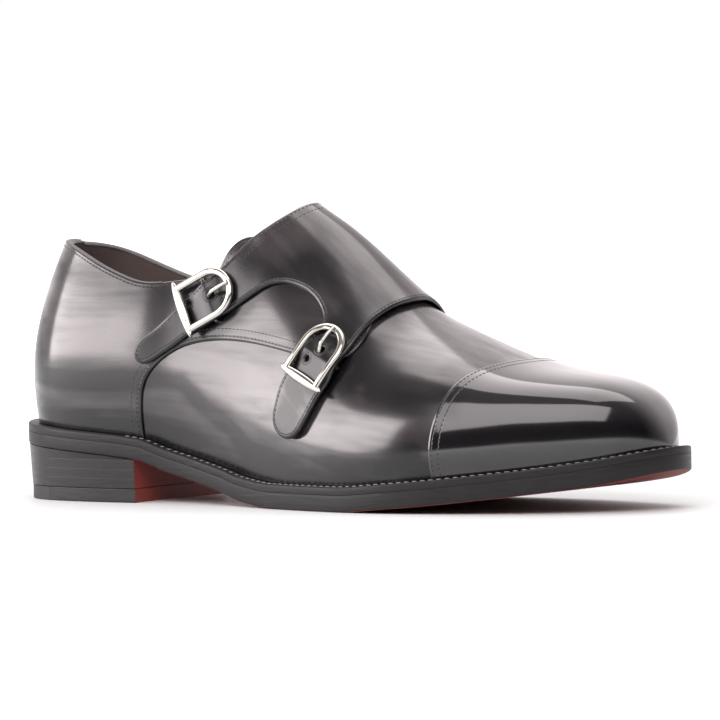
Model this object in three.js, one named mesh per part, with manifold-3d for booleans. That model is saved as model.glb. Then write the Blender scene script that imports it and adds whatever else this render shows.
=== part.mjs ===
// Double monk strap shoe for the right foot, built over its last.
// Millimetres. +X runs to the toe, +Y to the wearer's left (the medial side), +Z up.
// Places below are measured from the back of the heel, the last's middle line and the floor;
// the finished group is then moved so that the origin is the middle of its footprint.
import * as THREE from 'three';
import { mergeVertices } from 'three/addons/utils/BufferGeometryUtils.js';
import Module from 'manifold-3d';

const wasm = await Module();
wasm.setup();

// Driving sizes
const SOLE_LENGTH = 306;
const SEAT_HEIGHT = 23.5;
const TOE_SPRING = 16;
const OUTSOLE_THICKNESS = 6.6;
const WELT_THICKNESS = 3.2;
const HEEL_LEDGE = 4.4;
const FOREPART_LEDGE = 4.6;
const HEEL_LENGTH = 73;
const TOP_PIECE_THICKNESS = 5.6;
const RUBBER_LENGTH = 27;
const INSOLE_THICKNESS = 3;
const UPPER_WALL = 1.8;
const OVERLAY_THICKNESS = 1.0;
const SADDLE_THICKNESS = 1.6;
const STRAP_WIDTH = 13;
const TONGUE_THICKNESS = 1.7;
const CLEARANCE = 0.3;

// Height of each layer over the last
const OVERLAY_INNER = UPPER_WALL + CLEARANCE;
const OVERLAY_OUTER = OVERLAY_INNER + OVERLAY_THICKNESS;
const SADDLE_LIFT = 0.4;
const SADDLE_INNER = OVERLAY_OUTER + SADDLE_LIFT;
const RIDGE_SPLIT = 2;

// Fineness of the last's grid
const STATIONS = 32;
const RING_STEPS = 18;
const SHARE_STEP = 1e-4;

// Underside of the outsole: shares of the length, seat height, toe spring and thickness
const SOLE_PROFILE = [
  { along: 0, seat: 1, spring: 0, thick: 0.8 },
  { along: 0.1, seat: 0.9, spring: 0, thick: 0.8 },
  { along: 0.24, seat: 0.74, spring: 0, thick: 0.86 },
  { along: 0.285, seat: 0.56, spring: 0, thick: 0.88 },
  { along: 0.34, seat: 0.38, spring: 0, thick: 0.88 },
  { along: 0.382, seat: 0.235, spring: 0, thick: 0.92 },
  { along: 0.42, seat: 0.095, spring: 0, thick: 0.96 },
  { along: 0.48, seat: 0, spring: 0, thick: 1 },
  { along: 0.59, seat: 0, spring: 0, thick: 1 },
  { along: 0.68, seat: 0, spring: 0.12, thick: 1 },
  { along: 0.742, seat: 0, spring: 0.225, thick: 1 },
  { along: 0.8, seat: 0, spring: 0.344, thick: 1 },
  { along: 0.843, seat: 0, spring: 0.4375, thick: 1 },
  { along: 0.892, seat: 0, spring: 0.5625, thick: 1 },
  { along: 0.938, seat: 0, spring: 0.706, thick: 1 },
  { along: 1, seat: 0, spring: 1, thick: 0.92 },
];

// The last, heel to toe: feather edges, ridge place, top height, and how far the section
// is the toe's or the instep's shape instead of the heel's
const LAST_SECTIONS = [
  { at: 6.4, lateral: 0, medial: 0, ridge: 0, top: 120, toe: 0, instep: 0 },
  { at: 10.2, lateral: -12.8, medial: 12.8, ridge: 0, top: 122, toe: 0, instep: 0 },
  { at: 21.4, lateral: -23.6, medial: 23.1, ridge: 0, top: 125, toe: 0, instep: 0 },
  { at: 42, lateral: -28.6, medial: 26.6, ridge: 0, top: 128, toe: 0, instep: 0 },
  { at: 69, lateral: -28.6, medial: 23.6, ridge: 0.5, top: 130, toe: 0, instep: 0.15 },
  { at: 99, lateral: -28.1, medial: 19.1, ridge: 1, top: 129, toe: 0, instep: 0.55 },
  { at: 129, lateral: -33.1, medial: 21.6, ridge: 1.5, top: 119.5, toe: 0, instep: 0.9 },
  { at: 158, lateral: -41.1, medial: 31.6, ridge: 2, top: 102, toe: 0, instep: 1 },
  { at: 186, lateral: -46.6, medial: 40.6, ridge: 2.5, top: 79.5, toe: 0.15, instep: 0.85 },
  { at: 212, lateral: -46.6, medial: 43.6, ridge: 3, top: 66, toe: 0.5, instep: 0.5 },
  { at: 237, lateral: -41.6, medial: 41.6, ridge: 4, top: 55.6, toe: 0.85, instep: 0.15 },
  { at: 259, lateral: -33.6, medial: 36.1, ridge: 5, top: 50.6, toe: 1, instep: 0 },
  { at: 277, lateral: -23.6, medial: 29.6, ridge: 5.5, top: 47.6, toe: 1, instep: 0 },
  { at: 291.4, lateral: -9.8, medial: 20.3, ridge: 5.5, top: 40.5, toe: 1, instep: 0 },
  { at: 298, lateral: 5.5, medial: 5.5, ridge: 5.5, top: 23.5, toe: 1, instep: 0 },
];

// Three section shapes, from the feather edge up to the ridge: how far out and how high
const SECTION_SHAPES = [
  { climb: 0, toeOut: 1, toeUp: 0, instepOut: 1, instepUp: 0, heelOut: 1, heelUp: 0 },
  { climb: 1 / 6, toeOut: 1.02, toeUp: 0.22, instepOut: 1.02, instepUp: 0.17, heelOut: 1.08, heelUp: 0.17 },
  { climb: 2 / 6, toeOut: 1.01, toeUp: 0.45, instepOut: 0.96, instepUp: 0.36, heelOut: 1.08, heelUp: 0.36 },
  { climb: 3 / 6, toeOut: 0.95, toeUp: 0.68, instepOut: 0.81, instepUp: 0.56, heelOut: 1.0, heelUp: 0.56 },
  { climb: 4 / 6, toeOut: 0.78, toeUp: 0.87, instepOut: 0.59, instepUp: 0.76, heelOut: 0.88, heelUp: 0.76 },
  { climb: 5 / 6, toeOut: 0.43, toeUp: 0.975, instepOut: 0.31, instepUp: 0.93, heelOut: 0.6, heelUp: 0.93 },
  { climb: 1, toeOut: 0, toeUp: 1, instepOut: 0, instepUp: 1, heelOut: 0, heelUp: 1 },
];

// Curve of the heel's back: shift along X against the height over the feather edge
const HEEL_CURVE = [
  { up: 0, shift: 2 },
  { up: 12, shift: 1 },
  { up: 25, shift: 1.2 },
  { up: 45, shift: 5.4 },
  { up: 60, shift: 11.2 },
  { up: 74, shift: 17.6 },
  { up: 100, shift: 29 },
];
const HEEL_CURVE_REACH = 0.45;

// Curves through table columns

const column = (table, name) => table.map((row) => row[name]);

// Cubic through the points, with straight ends unless a slope is given there
function smoothCurve(xs, ys, startSlope = null, endSlope = null) {
  const count = xs.length;
  const gap = xs.slice(1).map((x, i) => x - xs[i]);
  const rate = gap.map((g, i) => (ys[i + 1] - ys[i]) / g);
  const low = new Array(count).fill(0);
  const mid = new Array(count).fill(1);
  const high = new Array(count).fill(0);
  const rhs = new Array(count).fill(0);
  for (let i = 1; i < count - 1; i++) {
    low[i] = gap[i - 1];
    mid[i] = 2 * (gap[i - 1] + gap[i]);
    high[i] = gap[i];
    rhs[i] = 6 * (rate[i] - rate[i - 1]);
  }
  if (startSlope !== null) {
    mid[0] = 2 * gap[0];
    high[0] = gap[0];
    rhs[0] = 6 * (rate[0] - startSlope);
  }
  if (endSlope !== null) {
    mid[count - 1] = 2 * gap[count - 2];
    low[count - 1] = gap[count - 2];
    rhs[count - 1] = 6 * (endSlope - rate[count - 2]);
  }
  for (let i = 1; i < count; i++) {
    const share = low[i] / mid[i - 1];
    mid[i] -= share * high[i - 1];
    rhs[i] -= share * rhs[i - 1];
  }
  const bend = new Array(count).fill(0);
  bend[count - 1] = rhs[count - 1] / mid[count - 1];
  for (let i = count - 2; i >= 0; i--) bend[i] = (rhs[i] - high[i] * bend[i + 1]) / mid[i];
  return (x) => {
    const i = findSpan(xs, x);
    const a = (xs[i + 1] - x) / gap[i];
    const b = 1 - a;
    const curl = ((a ** 3 - a) * bend[i] + (b ** 3 - b) * bend[i + 1]) * gap[i] ** 2 / 6;
    return a * ys[i] + b * ys[i + 1] + curl;
  };
}

// Cubic through the points that never overshoots them
function steadyCurve(xs, ys) {
  const last = xs.length - 1;
  const rate = xs.slice(1).map((x, i) => (ys[i + 1] - ys[i]) / (x - xs[i]));
  const slope = xs.map((x, i) => {
    if (i === 0 || i === last) return rate[Math.min(i, last - 1)];
    if (rate[i - 1] * rate[i] <= 0) return 0;
    return 2 * rate[i - 1] * rate[i] / (rate[i - 1] + rate[i]);
  });
  return (x) => {
    const held = THREE.MathUtils.clamp(x, xs[0], xs[last]);
    const i = findSpan(xs, held);
    const gap = xs[i + 1] - xs[i];
    const u = (held - xs[i]) / gap;
    const startPull = u * (1 - u) ** 2 * gap * slope[i];
    const endPull = u * u * (u - 1) * gap * slope[i + 1];
    const ease = u * u * (3 - 2 * u);
    return ys[i] * (1 - ease) + ys[i + 1] * ease + startPull + endPull;
  };
}

function findSpan(xs, x) {
  let i = 0;
  while (i < xs.length - 2 && x > xs[i + 1]) i++;
  return i;
}

// Sole heights along X

const soleAt = column(SOLE_PROFILE, 'along').map((share) => share * SOLE_LENGTH);
const soleUnderside = steadyCurve(
  soleAt,
  SOLE_PROFILE.map((row) => row.seat * SEAT_HEIGHT + row.spring * TOE_SPRING),
);
const outsoleDepth = steadyCurve(soleAt, SOLE_PROFILE.map((row) => row.thick * OUTSOLE_THICKNESS));
const outsoleTop = (x) => soleUnderside(x) + outsoleDepth(x);
const weltTop = (x) => outsoleTop(x) + WELT_THICKNESS;
const lastBase = (x) => weltTop(x) + CLEARANCE;

// The last's surface: share 0 to 1 from heel to toe; turn -1 at the lateral feather edge,
// 0 on the ridge and 1 at the medial feather edge

const sectionShare = LAST_SECTIONS.map((row, i) => i / (LAST_SECTIONS.length - 1));
const lastX = smoothCurve(sectionShare, column(LAST_SECTIONS, 'at'), 1, 1);
const lateralEdge = smoothCurve(sectionShare, column(LAST_SECTIONS, 'lateral'));
const medialEdge = smoothCurve(sectionShare, column(LAST_SECTIONS, 'medial'));
const ridgePlace = smoothCurve(sectionShare, column(LAST_SECTIONS, 'ridge'));
const riseTable = LAST_SECTIONS.map((row, i) => (
  i === LAST_SECTIONS.length - 1 ? 0 : row.top - lastBase(row.at)));
const lastRise = smoothCurve(sectionShare, riseTable, 1);
const toeShare = steadyCurve(sectionShare, column(LAST_SECTIONS, 'toe'));
const instepShare = steadyCurve(sectionShare, column(LAST_SECTIONS, 'instep'));
const climbs = column(SECTION_SHAPES, 'climb');
const outCurve = (name) => smoothCurve(climbs, column(SECTION_SHAPES, name));
const upCurve = (name) => smoothCurve(climbs, column(SECTION_SHAPES, name), null, 0);
const SHAPE_CURVES = {
  toe: { out: outCurve('toeOut'), up: upCurve('toeUp') },
  instep: { out: outCurve('instepOut'), up: upCurve('instepUp') },
  heel: { out: outCurve('heelOut'), up: upCurve('heelUp') },
};
const heelShift = smoothCurve(column(HEEL_CURVE, 'up'), column(HEEL_CURVE, 'shift'));

function lastPoint(share, turn) {
  const climb = 1 - Math.abs(turn);
  const toe = toeShare(share);
  const instep = instepShare(share);
  const heel = 1 - toe - instep;
  const { toe: t, instep: n, heel: h } = SHAPE_CURVES;
  const out = toe * t.out(climb) + instep * n.out(climb) + heel * h.out(climb);
  const up = lastRise(share) * (toe * t.up(climb) + instep * n.up(climb) + heel * h.up(climb));
  const ridge = ridgePlace(share);
  const edge = turn < 0 ? lateralEdge(share) : medialEdge(share);
  const near = THREE.MathUtils.smoothstep(HEEL_CURVE_REACH - share, 0, HEEL_CURVE_REACH);
  const x = lastX(share);
  return new THREE.Vector3(x + near * heelShift(up), ridge + (edge - ridge) * out, lastBase(x) + up);
}

function lastNormal(share, turn) {
  if (share >= 1) return new THREE.Vector3(1, 0, 0);
  const s0 = Math.max(share - SHARE_STEP, 0);
  const s1 = share + SHARE_STEP;
  const bend = turn < 0 ? [-1, 0] : [0, 1];
  const t0 = THREE.MathUtils.clamp(turn - SHARE_STEP, ...(turn === 0 ? [-1, 1] : bend));
  const t1 = THREE.MathUtils.clamp(turn + SHARE_STEP, ...(turn === 0 ? [-1, 1] : bend));
  const forward = lastPoint(s1, turn).sub(lastPoint(s0, turn));
  const across = lastPoint(share, t1).sub(lastPoint(share, t0));
  const normal = forward.cross(across);
  if (share === 0) normal.y = 0;
  if (share === 0 && turn === 0) normal.set(-1, 0, 1);
  if (Math.abs(turn) === 1) normal.z = 0;
  return normal.normalize();
}

function overLast(share, turn, lift) {
  const point = lastPoint(share, turn).addScaledVector(lastNormal(share, turn), lift);
  if (Math.abs(turn) === 1 || share === 1) point.z = lastBase(point.x);
  return point;
}

// Solids

function toSolid(geometry) {
  const bare = geometry.clone();
  bare.deleteAttribute('normal');
  bare.deleteAttribute('uv');
  const merged = mergeVertices(bare);
  const index = merged.index.array;
  const kept = [];
  for (let i = 0; i < index.length; i += 3) {
    const [a, b, c] = [index[i], index[i + 1], index[i + 2]];
    if (a !== b && b !== c && c !== a) kept.push(a, b, c);
  }
  const solid = new wasm.Manifold(new wasm.Mesh({
    numProp: 3,
    vertProperties: new Float32Array(merged.attributes.position.array),
    triVerts: new Uint32Array(kept),
  }));
  return solid;
}

// Closed tube of rings, each a list of the same number of points, with flat ends filled
// from its first point unless the end ring is a single place
function ringSolid(rings) {
  const size = rings[0].length;
  const points = rings.flat();
  const faces = [];
  for (let i = 0; i < rings.length - 1; i++) {
    for (let j = 0; j < size; j++) {
      const next = (j + 1) % size;
      const [a, b] = [i * size + j, (i + 1) * size + j];
      const [c, d] = [i * size + next, (i + 1) * size + next];
      faces.push(a, b, c, b, d, c);
    }
  }
  const end = (rings.length - 1) * size;
  for (let j = 1; j < size - 1; j++) {
    faces.push(0, j, j + 1);
    faces.push(end, end + j + 1, end + j);
  }
  const geometry = new THREE.BufferGeometry().setFromPoints(points);
  geometry.setIndex(faces);
  return toSolid(geometry);
}

// The whole last, thickened by a lift and carried down below its feather edge by a skirt
function lastForm(lift, skirt = 0) {
  const liftAt = typeof lift === 'number' ? () => lift : lift;
  const points = [];
  const wide = RING_STEPS + 3;
  for (let i = 0; i <= STATIONS; i++) {
    const share = i / STATIONS;
    const ring = [];
    for (let j = 0; j <= RING_STEPS; j++) {
      const turn = 2 * j / RING_STEPS - 1;
      ring.push(overLast(share, turn, liftAt(share, turn)));
    }
    const drop = new THREE.Vector3(0, 0, -skirt);
    points.push(ring[0].clone().add(drop), ...ring, ring[RING_STEPS].clone().add(drop));
  }
  const faces = [];
  for (let i = 0; i < STATIONS; i++) {
    for (let j = 0; j < wide; j++) {
      const next = (j + 1) % wide;
      const [a, b] = [i * wide + j, (i + 1) * wide + j];
      const [c, d] = [i * wide + next, (i + 1) * wide + next];
      faces.push(a, b, c, b, d, c);
    }
  }
  const geometry = new THREE.BufferGeometry().setFromPoints(points);
  geometry.setIndex(faces);
  return toSolid(geometry);
}

// Point of the feather edge, moved out level by a margin
function featherPoint(share, side, margin) {
  const point = lastPoint(share, side);
  return point.addScaledVector(lastNormal(share, side), margin);
}

// Plate that fills the feather outline, given by levels from the top one down:
// each has a margin outside the feather edge and a height along X
function soleplate(levels, reach = 1) {
  const rings = [];
  for (let i = 0; i <= STATIONS * reach; i++) {
    const share = i / STATIONS;
    const place = (side) => ({ margin, height }) => {
      const point = featherPoint(share, side, margin(lastX(share)));
      point.z = height(point.x);
      return point;
    };
    const medial = levels.map(place(1));
    const lateral = levels.map(place(-1)).reverse();
    rings.push([...medial, ...lateral]);
  }
  return ringSolid(rings);
}

// Prism seen from the side: outline of X and Z points, between two Y planes
function sidePrism(outline, fromY, toY) {
  const shape = new THREE.Shape(outline.map(([x, z]) => new THREE.Vector2(x, z)));
  const geometry = new THREE.ExtrudeGeometry(shape, { depth: toY - fromY, bevelEnabled: false });
  geometry.rotateX(Math.PI / 2);
  geometry.translate(0, toY, 0);
  return toSolid(geometry);
}

// Prism seen from above: outline of X and Y points, between two heights
function planPrism(outline, fromZ, toZ) {
  const shape = new THREE.Shape(outline.map(([x, y]) => new THREE.Vector2(x, y)));
  const geometry = new THREE.ExtrudeGeometry(shape, { depth: toZ - fromZ, bevelEnabled: false });
  geometry.translate(0, 0, fromZ);
  return toSolid(geometry);
}

// Rounds a run of outline points
function rounded(points, steps = 3) {
  const curve = new THREE.SplineCurve(points.map(([x, y]) => new THREE.Vector2(x, y)));
  return curve.getPoints(steps * (points.length - 1)).map((p) => [p.x, p.y]);
}

const FAR = 80;
const SKY = 150;

// Lines of the upper, seen from the side as X and Z

const COLLAR_BACK = [-20, 106.5];
const COLLAR_LATERAL = rounded([[8, 106], [20, 105.4], [36, 103], [51, 97], [63, 92], [75, 88.6], [86, 89]]);
const COLLAR_MEDIAL = rounded([[8, 106], [20, 104.5], [36, 97.5], [52, 91], [68, 87.5], [86, 88]]);
const THROAT_END = 172;
const THROAT_LATERAL = rounded([[86, 89], [102, 91], [120, 95], [140, 94], [158, 86], [THROAT_END, 79]], 2);
const THROAT_MEDIAL = rounded([[86, 88], [102, 93], [120, 99], [140, 98], [158, 90], [THROAT_END, 82]], 2);
const QUARTER_SEAM = rounded([
  [75, 20], [75, 41], [77, 49], [83, 56.5], [94, 63], [108, 65.8], [126, 65.4], [147, 62.2]]);
const LATERAL_CORNER = [[160, 60], [173, 59.6], [181.5, 61.4], [184, 67], [182, 74], [THROAT_END, 82]];
const MEDIAL_CORNER = [[160, 60.6], [170, 58.8], [180, 57]];
const SADDLE_FRONT_RIDGE = [191, 81];
const SADDLE_FRONT_MEDIAL = rounded([SADDLE_FRONT_RIDGE, [189.5, 75], [186, 66], [180, 57]]);
const SADDLE_FRONT_LATERAL = rounded([
  [192.5, 77], SADDLE_FRONT_RIDGE, [188, 80], [185, 76.6], [182.6, 72]]);
const SADDLE_TOP = [[141, 123], [133, 115.7], [123, 107.3], [118, 101]];
const SADDLE_TOP_MEDIAL = [[86, 88], [100, 92], [114, 100.5], [128, 112], [141, 123]];
const SADDLE_ARCH = rounded([
  [123, 82], [130, 86], [140, 89.3], [149.5, 87.6], [158, 82.6], [163.5, 76]]);
const TONGUE_BACK = [[106, 93], [112, 104.5], [116.5, 107], [123, 107.5], [131, 111], [140, 119]];
const TONGUE_FRONT = 192;
const TONGUE_HALF_WIDTH = 25;
const CAP_RIDGE = 238;
const CAP_SWEEP = 12;
const CAP_SPAN = 45;

function openingCutter(lateralLine, medialLine) {
  const lateral = sidePrism([COLLAR_BACK, ...lateralLine, [lateralLine.at(-1)[0], SKY], [-20, SKY]],
    -FAR, RIDGE_SPLIT);
  const medial = sidePrism([COLLAR_BACK, ...medialLine, [medialLine.at(-1)[0], SKY], [-20, SKY]],
    RIDGE_SPLIT, FAR);
  return lateral.add(medial);
}

const throatOpening = openingCutter(
  [...COLLAR_LATERAL, ...THROAT_LATERAL.slice(1)],
  [...COLLAR_MEDIAL, ...THROAT_MEDIAL.slice(1)],
);

// Upper: vamp and lining as one hollow wall, open at the collar, the throat and underneath
function makeUpper() {
  return lastForm(UPPER_WALL).subtract(lastForm(0, 8)).subtract(throatOpening);
}

const overlayShell = lastForm(OVERLAY_OUTER).subtract(lastForm(OVERLAY_INNER, 8));

function makeToeCap() {
  const seam = [];
  for (let y = FAR; y >= -FAR; y -= FAR / 8) seam.push([CAP_RIDGE - CAP_SWEEP * (y / CAP_SPAN) ** 2, y]);
  const region = planPrism([[SOLE_LENGTH + 20, -FAR], [SOLE_LENGTH + 20, FAR], ...seam], 0, SKY);
  return overlayShell.intersect(region);
}

function makeQuarterLateral() {
  const outline = [[-20, 10], [75, 10], ...QUARTER_SEAM, ...LATERAL_CORNER, [THROAT_END, SKY], [-20, SKY]];
  return overlayShell
    .intersect(sidePrism(outline, -FAR, -CLEARANCE / 2))
    .subtract(throatOpening);
}

// Saddle: the medial quarter, carried over the instep as the flap that ends in two straps
function saddleLift(share, turn, inner, outer) {
  const toLateral = THREE.MathUtils.smoothstep(-turn, -0.25, 0.05);
  const toFront = THREE.MathUtils.smoothstep(share, 0.12, 0.22);
  const toToe = THREE.MathUtils.smoothstep(share, 0.8, 0.95);
  return THREE.MathUtils.lerp(inner, outer, toLateral * toFront * (1 - toToe));
}

function makeSaddle() {
  const outer = lastForm((s, t) => saddleLift(s, t, OVERLAY_OUTER, SADDLE_INNER + SADDLE_THICKNESS));
  const inner = lastForm((s, t) => saddleLift(s, t, OVERLAY_INNER, SADDLE_INNER), 8);
  const shell = outer.subtract(inner);
  const medial = [[-20, 10], [75, 10], ...QUARTER_SEAM, ...MEDIAL_CORNER,
    ...SADDLE_FRONT_MEDIAL.toReversed(), [SADDLE_FRONT_RIDGE[0], SKY], [141, SKY],
    ...SADDLE_TOP_MEDIAL.toReversed(), ...COLLAR_MEDIAL.toReversed(), COLLAR_BACK];
  const lateral = [[SADDLE_FRONT_RIDGE[0], SKY], ...SADDLE_FRONT_LATERAL.slice(3),
    ...SADDLE_ARCH.toReversed(), ...SADDLE_TOP.toReversed(), [141, SKY]];
  const region = sidePrism(medial, RIDGE_SPLIT - 0.5, FAR).add(sidePrism(lateral, -FAR, RIDGE_SPLIT));
  const backSeam = planPrism([[-20, -FAR], [90, -FAR], [90, CLEARANCE / 2], [-20, CLEARANCE / 2]], 0, SKY);
  const flap = shell.intersect(region).subtract(backSeam);
  return FASTENINGS.reduce((solid, fastening) => solid.add(makeStrap(fastening)), flap);
}

// Straps and buckles lie on the lateral side. Their places are seen from the side.

// Share and turn of the last whose surface, at a lift, shows at X and Z on the lateral side
function seatAt(x, z, lift) {
  let share = x / SOLE_LENGTH;
  let turn = -0.6;
  const step = 1e-3;
  for (let round = 0; round < 12; round++) {
    const p = overLast(share, turn, lift);
    const ps = overLast(share + step, turn, lift).sub(p).divideScalar(step);
    const pt = overLast(share, turn + step, lift).sub(p).divideScalar(step);
    const det = ps.x * pt.z - pt.x * ps.z;
    const [ex, ez] = [x - p.x, z - p.z];
    share += THREE.MathUtils.clamp((ex * pt.z - ez * pt.x) / det, -0.05, 0.05);
    turn += THREE.MathUtils.clamp((ez * ps.x - ex * ps.z) / det, -0.15, 0.15);
    turn = THREE.MathUtils.clamp(turn, -0.98, -0.02);
  }
  return [share, turn];
}

// Each fastening: the strap's middle line from its tip to its root, and the centre bar's place
const FASTENINGS = [
  {
    name: 'upper',
    line: [[75.5, 60.5], [84.5, 66.5], [94.5, 74.5], [105.7, 82.6], [117, 90.5], [128, 98]],
    crossbar: [95.5, 77],
    roundEnd: [117.5, 89],
    flare: 0.35,
  },
  {
    name: 'lower',
    line: [[152, 29], [155, 38], [160, 50], [166.8, 61], [172.5, 70.5], [176, 79]],
    crossbar: [161, 51.7],
    roundEnd: [172.5, 70.5],
    flare: 0.45,
  },
];
const STRAP_BULGE = 2.7;
const BULGE_REACH = 3.4;
const STRAP_STEPS = 22;
const STRAP_COLUMNS = 3;
const TIP_RADIUS = 7;

// Frame of a buckle: its middle on the strap, along the strap to the tip, across it, and out
function buckleFrame({ crossbar, roundEnd }) {
  const middle = [(crossbar[0] + roundEnd[0]) / 2, (crossbar[1] + roundEnd[1]) / 2];
  const seat = seatAt(...middle, RAIL_BASE);
  const centre = overLast(...seat, 0);
  const out = lastNormal(...seat);
  const tip = overLast(...seatAt(...crossbar, RAIL_BASE), 0);
  const root = overLast(...seatAt(...roundEnd, RAIL_BASE), 0);
  const along = tip.clone().sub(root);
  along.addScaledVector(out, -along.dot(out)).normalize();
  const across = out.clone().cross(along);
  const sink = (point) => -point.clone().sub(centre).dot(out);
  const reach = (point) => point.clone().sub(centre).dot(along) ** 2;
  const bend = (sink(tip) + sink(root)) / (reach(tip) + reach(root));
  return { centre, out, along, across, bend };
}

function intoFrame(geometry, { centre, out, along, across, bend }) {
  const spots = geometry.attributes.position;
  for (let i = 0; i < spots.count; i++) {
    const [a, b, h] = [spots.getX(i), spots.getY(i), spots.getZ(i)];
    const point = centre.clone().addScaledVector(along, a).addScaledVector(across, b);
    point.addScaledVector(out, h - bend * (a * a + 0.4 * b * b));
    spots.setXYZ(i, point.x, point.y, point.z);
  }
  return toSolid(geometry);
}

const RAIL = 2.6;
const RAIL_DEPTH = 2.2;
const RAIL_BEVEL = 0.6;
const RAIL_LIFT = 0.9;
const RAIL_BASE = SADDLE_INNER + SADDLE_THICKNESS + RAIL_LIFT;
const FRAME_HALF = 10.6;
const ROUND_CENTRE = -3;
const CROSSBAR_AT = 11.5;
const CROSSBAR_HALF = 12.6;
const CROSSBAR_WIDTH = 4.2;
const PIN_RADIUS = 0.8;
const PIN_HEIGHT = OVERLAY_OUTER + RAIL_LIFT + PIN_RADIUS;
const PRONG_RADIUS = 0.9;

function bevelled(shape, depth, base) {
  const geometry = new THREE.ExtrudeGeometry(shape, {
    depth: depth - 2 * RAIL_BEVEL,
    bevelThickness: RAIL_BEVEL,
    bevelSize: RAIL_BEVEL,
    bevelOffset: -RAIL_BEVEL,
    bevelSegments: 1,
    curveSegments: 8,
  });
  geometry.translate(0, 0, base + RAIL_BEVEL);
  return geometry;
}

function ringOutline(half, end) {
  const points = [new THREE.Vector2(end, -half), new THREE.Vector2(end, half)];
  const steps = 10;
  for (let i = 0; i <= steps; i++) {
    const angle = Math.PI * (0.5 + i / steps);
    points.push(new THREE.Vector2(ROUND_CENTRE + half * Math.cos(angle), half * Math.sin(angle)));
  }
  return points;
}

// Straight bar: a lens that is widest in the middle
function crossbarOutline() {
  const edge = (side, from) => {
    const points = [];
    const steps = 4;
    for (let i = 0; i <= steps; i++) {
      const share = 2 * i / steps - 1;
      const half = CROSSBAR_WIDTH / 2 * (1 - 0.55 * share * share);
      points.push(new THREE.Vector2(CROSSBAR_AT + side * half, from * share * CROSSBAR_HALF));
    }
    return points;
  };
  return [...edge(1, 1), ...edge(-1, -1)];
}

function prongTube(frame, radius) {
  const route = new THREE.CatmullRomCurve3([
    new THREE.Vector3(0, 0, PIN_HEIGHT),
    new THREE.Vector3(-1.4, 0, PIN_HEIGHT + 2.6),
    new THREE.Vector3(-4.4, 0, RAIL_BASE + RAIL_DEPTH + 0.3),
    new THREE.Vector3(ROUND_CENTRE - FRAME_HALF + 0.8, 0, RAIL_BASE + RAIL_DEPTH + PRONG_RADIUS * 0.8),
  ]);
  const section = new THREE.Shape().absarc(0, 0, radius, 0, 2 * Math.PI);
  const tube = new THREE.ExtrudeGeometry(section, { extrudePath: route, steps: 7, curveSegments: 3 });
  return intoFrame(tube, frame);
}

function makeBuckle(fastening) {
  const frame = buckleFrame(fastening);
  const ring = new THREE.Shape(ringOutline(FRAME_HALF, CROSSBAR_AT));
  ring.holes.push(new THREE.Path(ringOutline(FRAME_HALF - RAIL, CROSSBAR_AT - 1.6).reverse()));
  const crossbar = new THREE.Shape(crossbarOutline());
  const pin = new THREE.CylinderGeometry(PIN_RADIUS, PIN_RADIUS, 2 * FRAME_HALF, 8);
  pin.translate(0, 0, PIN_HEIGHT);
  const lugHeight = RAIL_BASE + 1 - PIN_HEIGHT + PIN_RADIUS;
  const lugs = [-1, 1].map((side) => {
    const lug = new THREE.BoxGeometry(2.4, 1.6, lugHeight);
    return lug.translate(0, side * (FRAME_HALF - 1.1), PIN_HEIGHT - PIN_RADIUS + lugHeight / 2);
  });
  const rails = [ring, crossbar].map((shape) => bevelled(shape, RAIL_DEPTH, RAIL_BASE));
  const solids = [...rails, pin, ...lugs].map((geometry) => intoFrame(geometry, frame));
  return solids.reduce((whole, solid) => whole.add(solid)).add(prongTube(frame, PRONG_RADIUS));
}

function makeStrap(fastening) {
  const frame = buckleFrame(fastening);
  const line = new THREE.SplineCurve(fastening.line.map(([x, z]) => new THREE.Vector2(x, z)));
  const length = line.getLength();
  const rings = [];
  for (let i = 0; i <= STRAP_STEPS; i++) {
    const along = i / STRAP_STEPS;
    const middle = line.getPointAt(along);
    const heading = line.getTangentAt(along);
    const fromTip = Math.min(along * length / TIP_RADIUS, 1);
    const widen = 1 + fastening.flare * THREE.MathUtils.smoothstep(along, 0.6, 1);
    const half = widen * STRAP_WIDTH / 2 * Math.max(Math.sqrt(1 - (1 - fromTip) ** 2), 0.15);
    const seat = seatAt(middle.x, middle.y, SADDLE_INNER);
    const offset = overLast(...seat, 0).sub(frame.centre).dot(frame.along);
    const lift = SADDLE_INNER + STRAP_BULGE * Math.exp(-((offset / BULGE_REACH) ** 2));
    const inner = [];
    const outer = [];
    for (let j = 0; j <= STRAP_COLUMNS; j++) {
      const side = half * (2 * j / STRAP_COLUMNS - 1);
      const place = [middle.x - heading.y * side, middle.y + heading.x * side];
      const spot = seatAt(place[0], place[1], SADDLE_INNER);
      inner.push(overLast(...spot, lift));
      outer.push(overLast(...spot, lift + SADDLE_THICKNESS));
    }
    rings.push([...inner.reverse(), ...outer]);
  }
  return ringSolid(rings).subtract(prongTube(frame, PRONG_RADIUS + 0.4));
}

function makeTongue() {
  const shell = lastForm(-CLEARANCE).subtract(lastForm(-CLEARANCE - TONGUE_THICKNESS, 12));
  const side = sidePrism([...TONGUE_BACK, [TONGUE_FRONT, 127], [TONGUE_FRONT, 60], [130, 75]], -FAR, FAR);
  const plan = planPrism([[90, -TONGUE_HALF_WIDTH], [TONGUE_FRONT + 10, -TONGUE_HALF_WIDTH],
    [TONGUE_FRONT + 10, TONGUE_HALF_WIDTH], [90, TONGUE_HALF_WIDTH]], 0, SKY);
  return shell.intersect(side).intersect(plan);
}

// Sole unit

const ledge = (x) => THREE.MathUtils.lerp(HEEL_LEDGE, FOREPART_LEDGE,
  THREE.MathUtils.smoothstep(x, 60, 120));
const soleMargin = (x) => OVERLAY_OUTER + ledge(x);
const WELT_INSET = 4;
const EDGE_ROUND = 0.8;
const INSOLE_TOP_INSET = 1.2;

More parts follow.
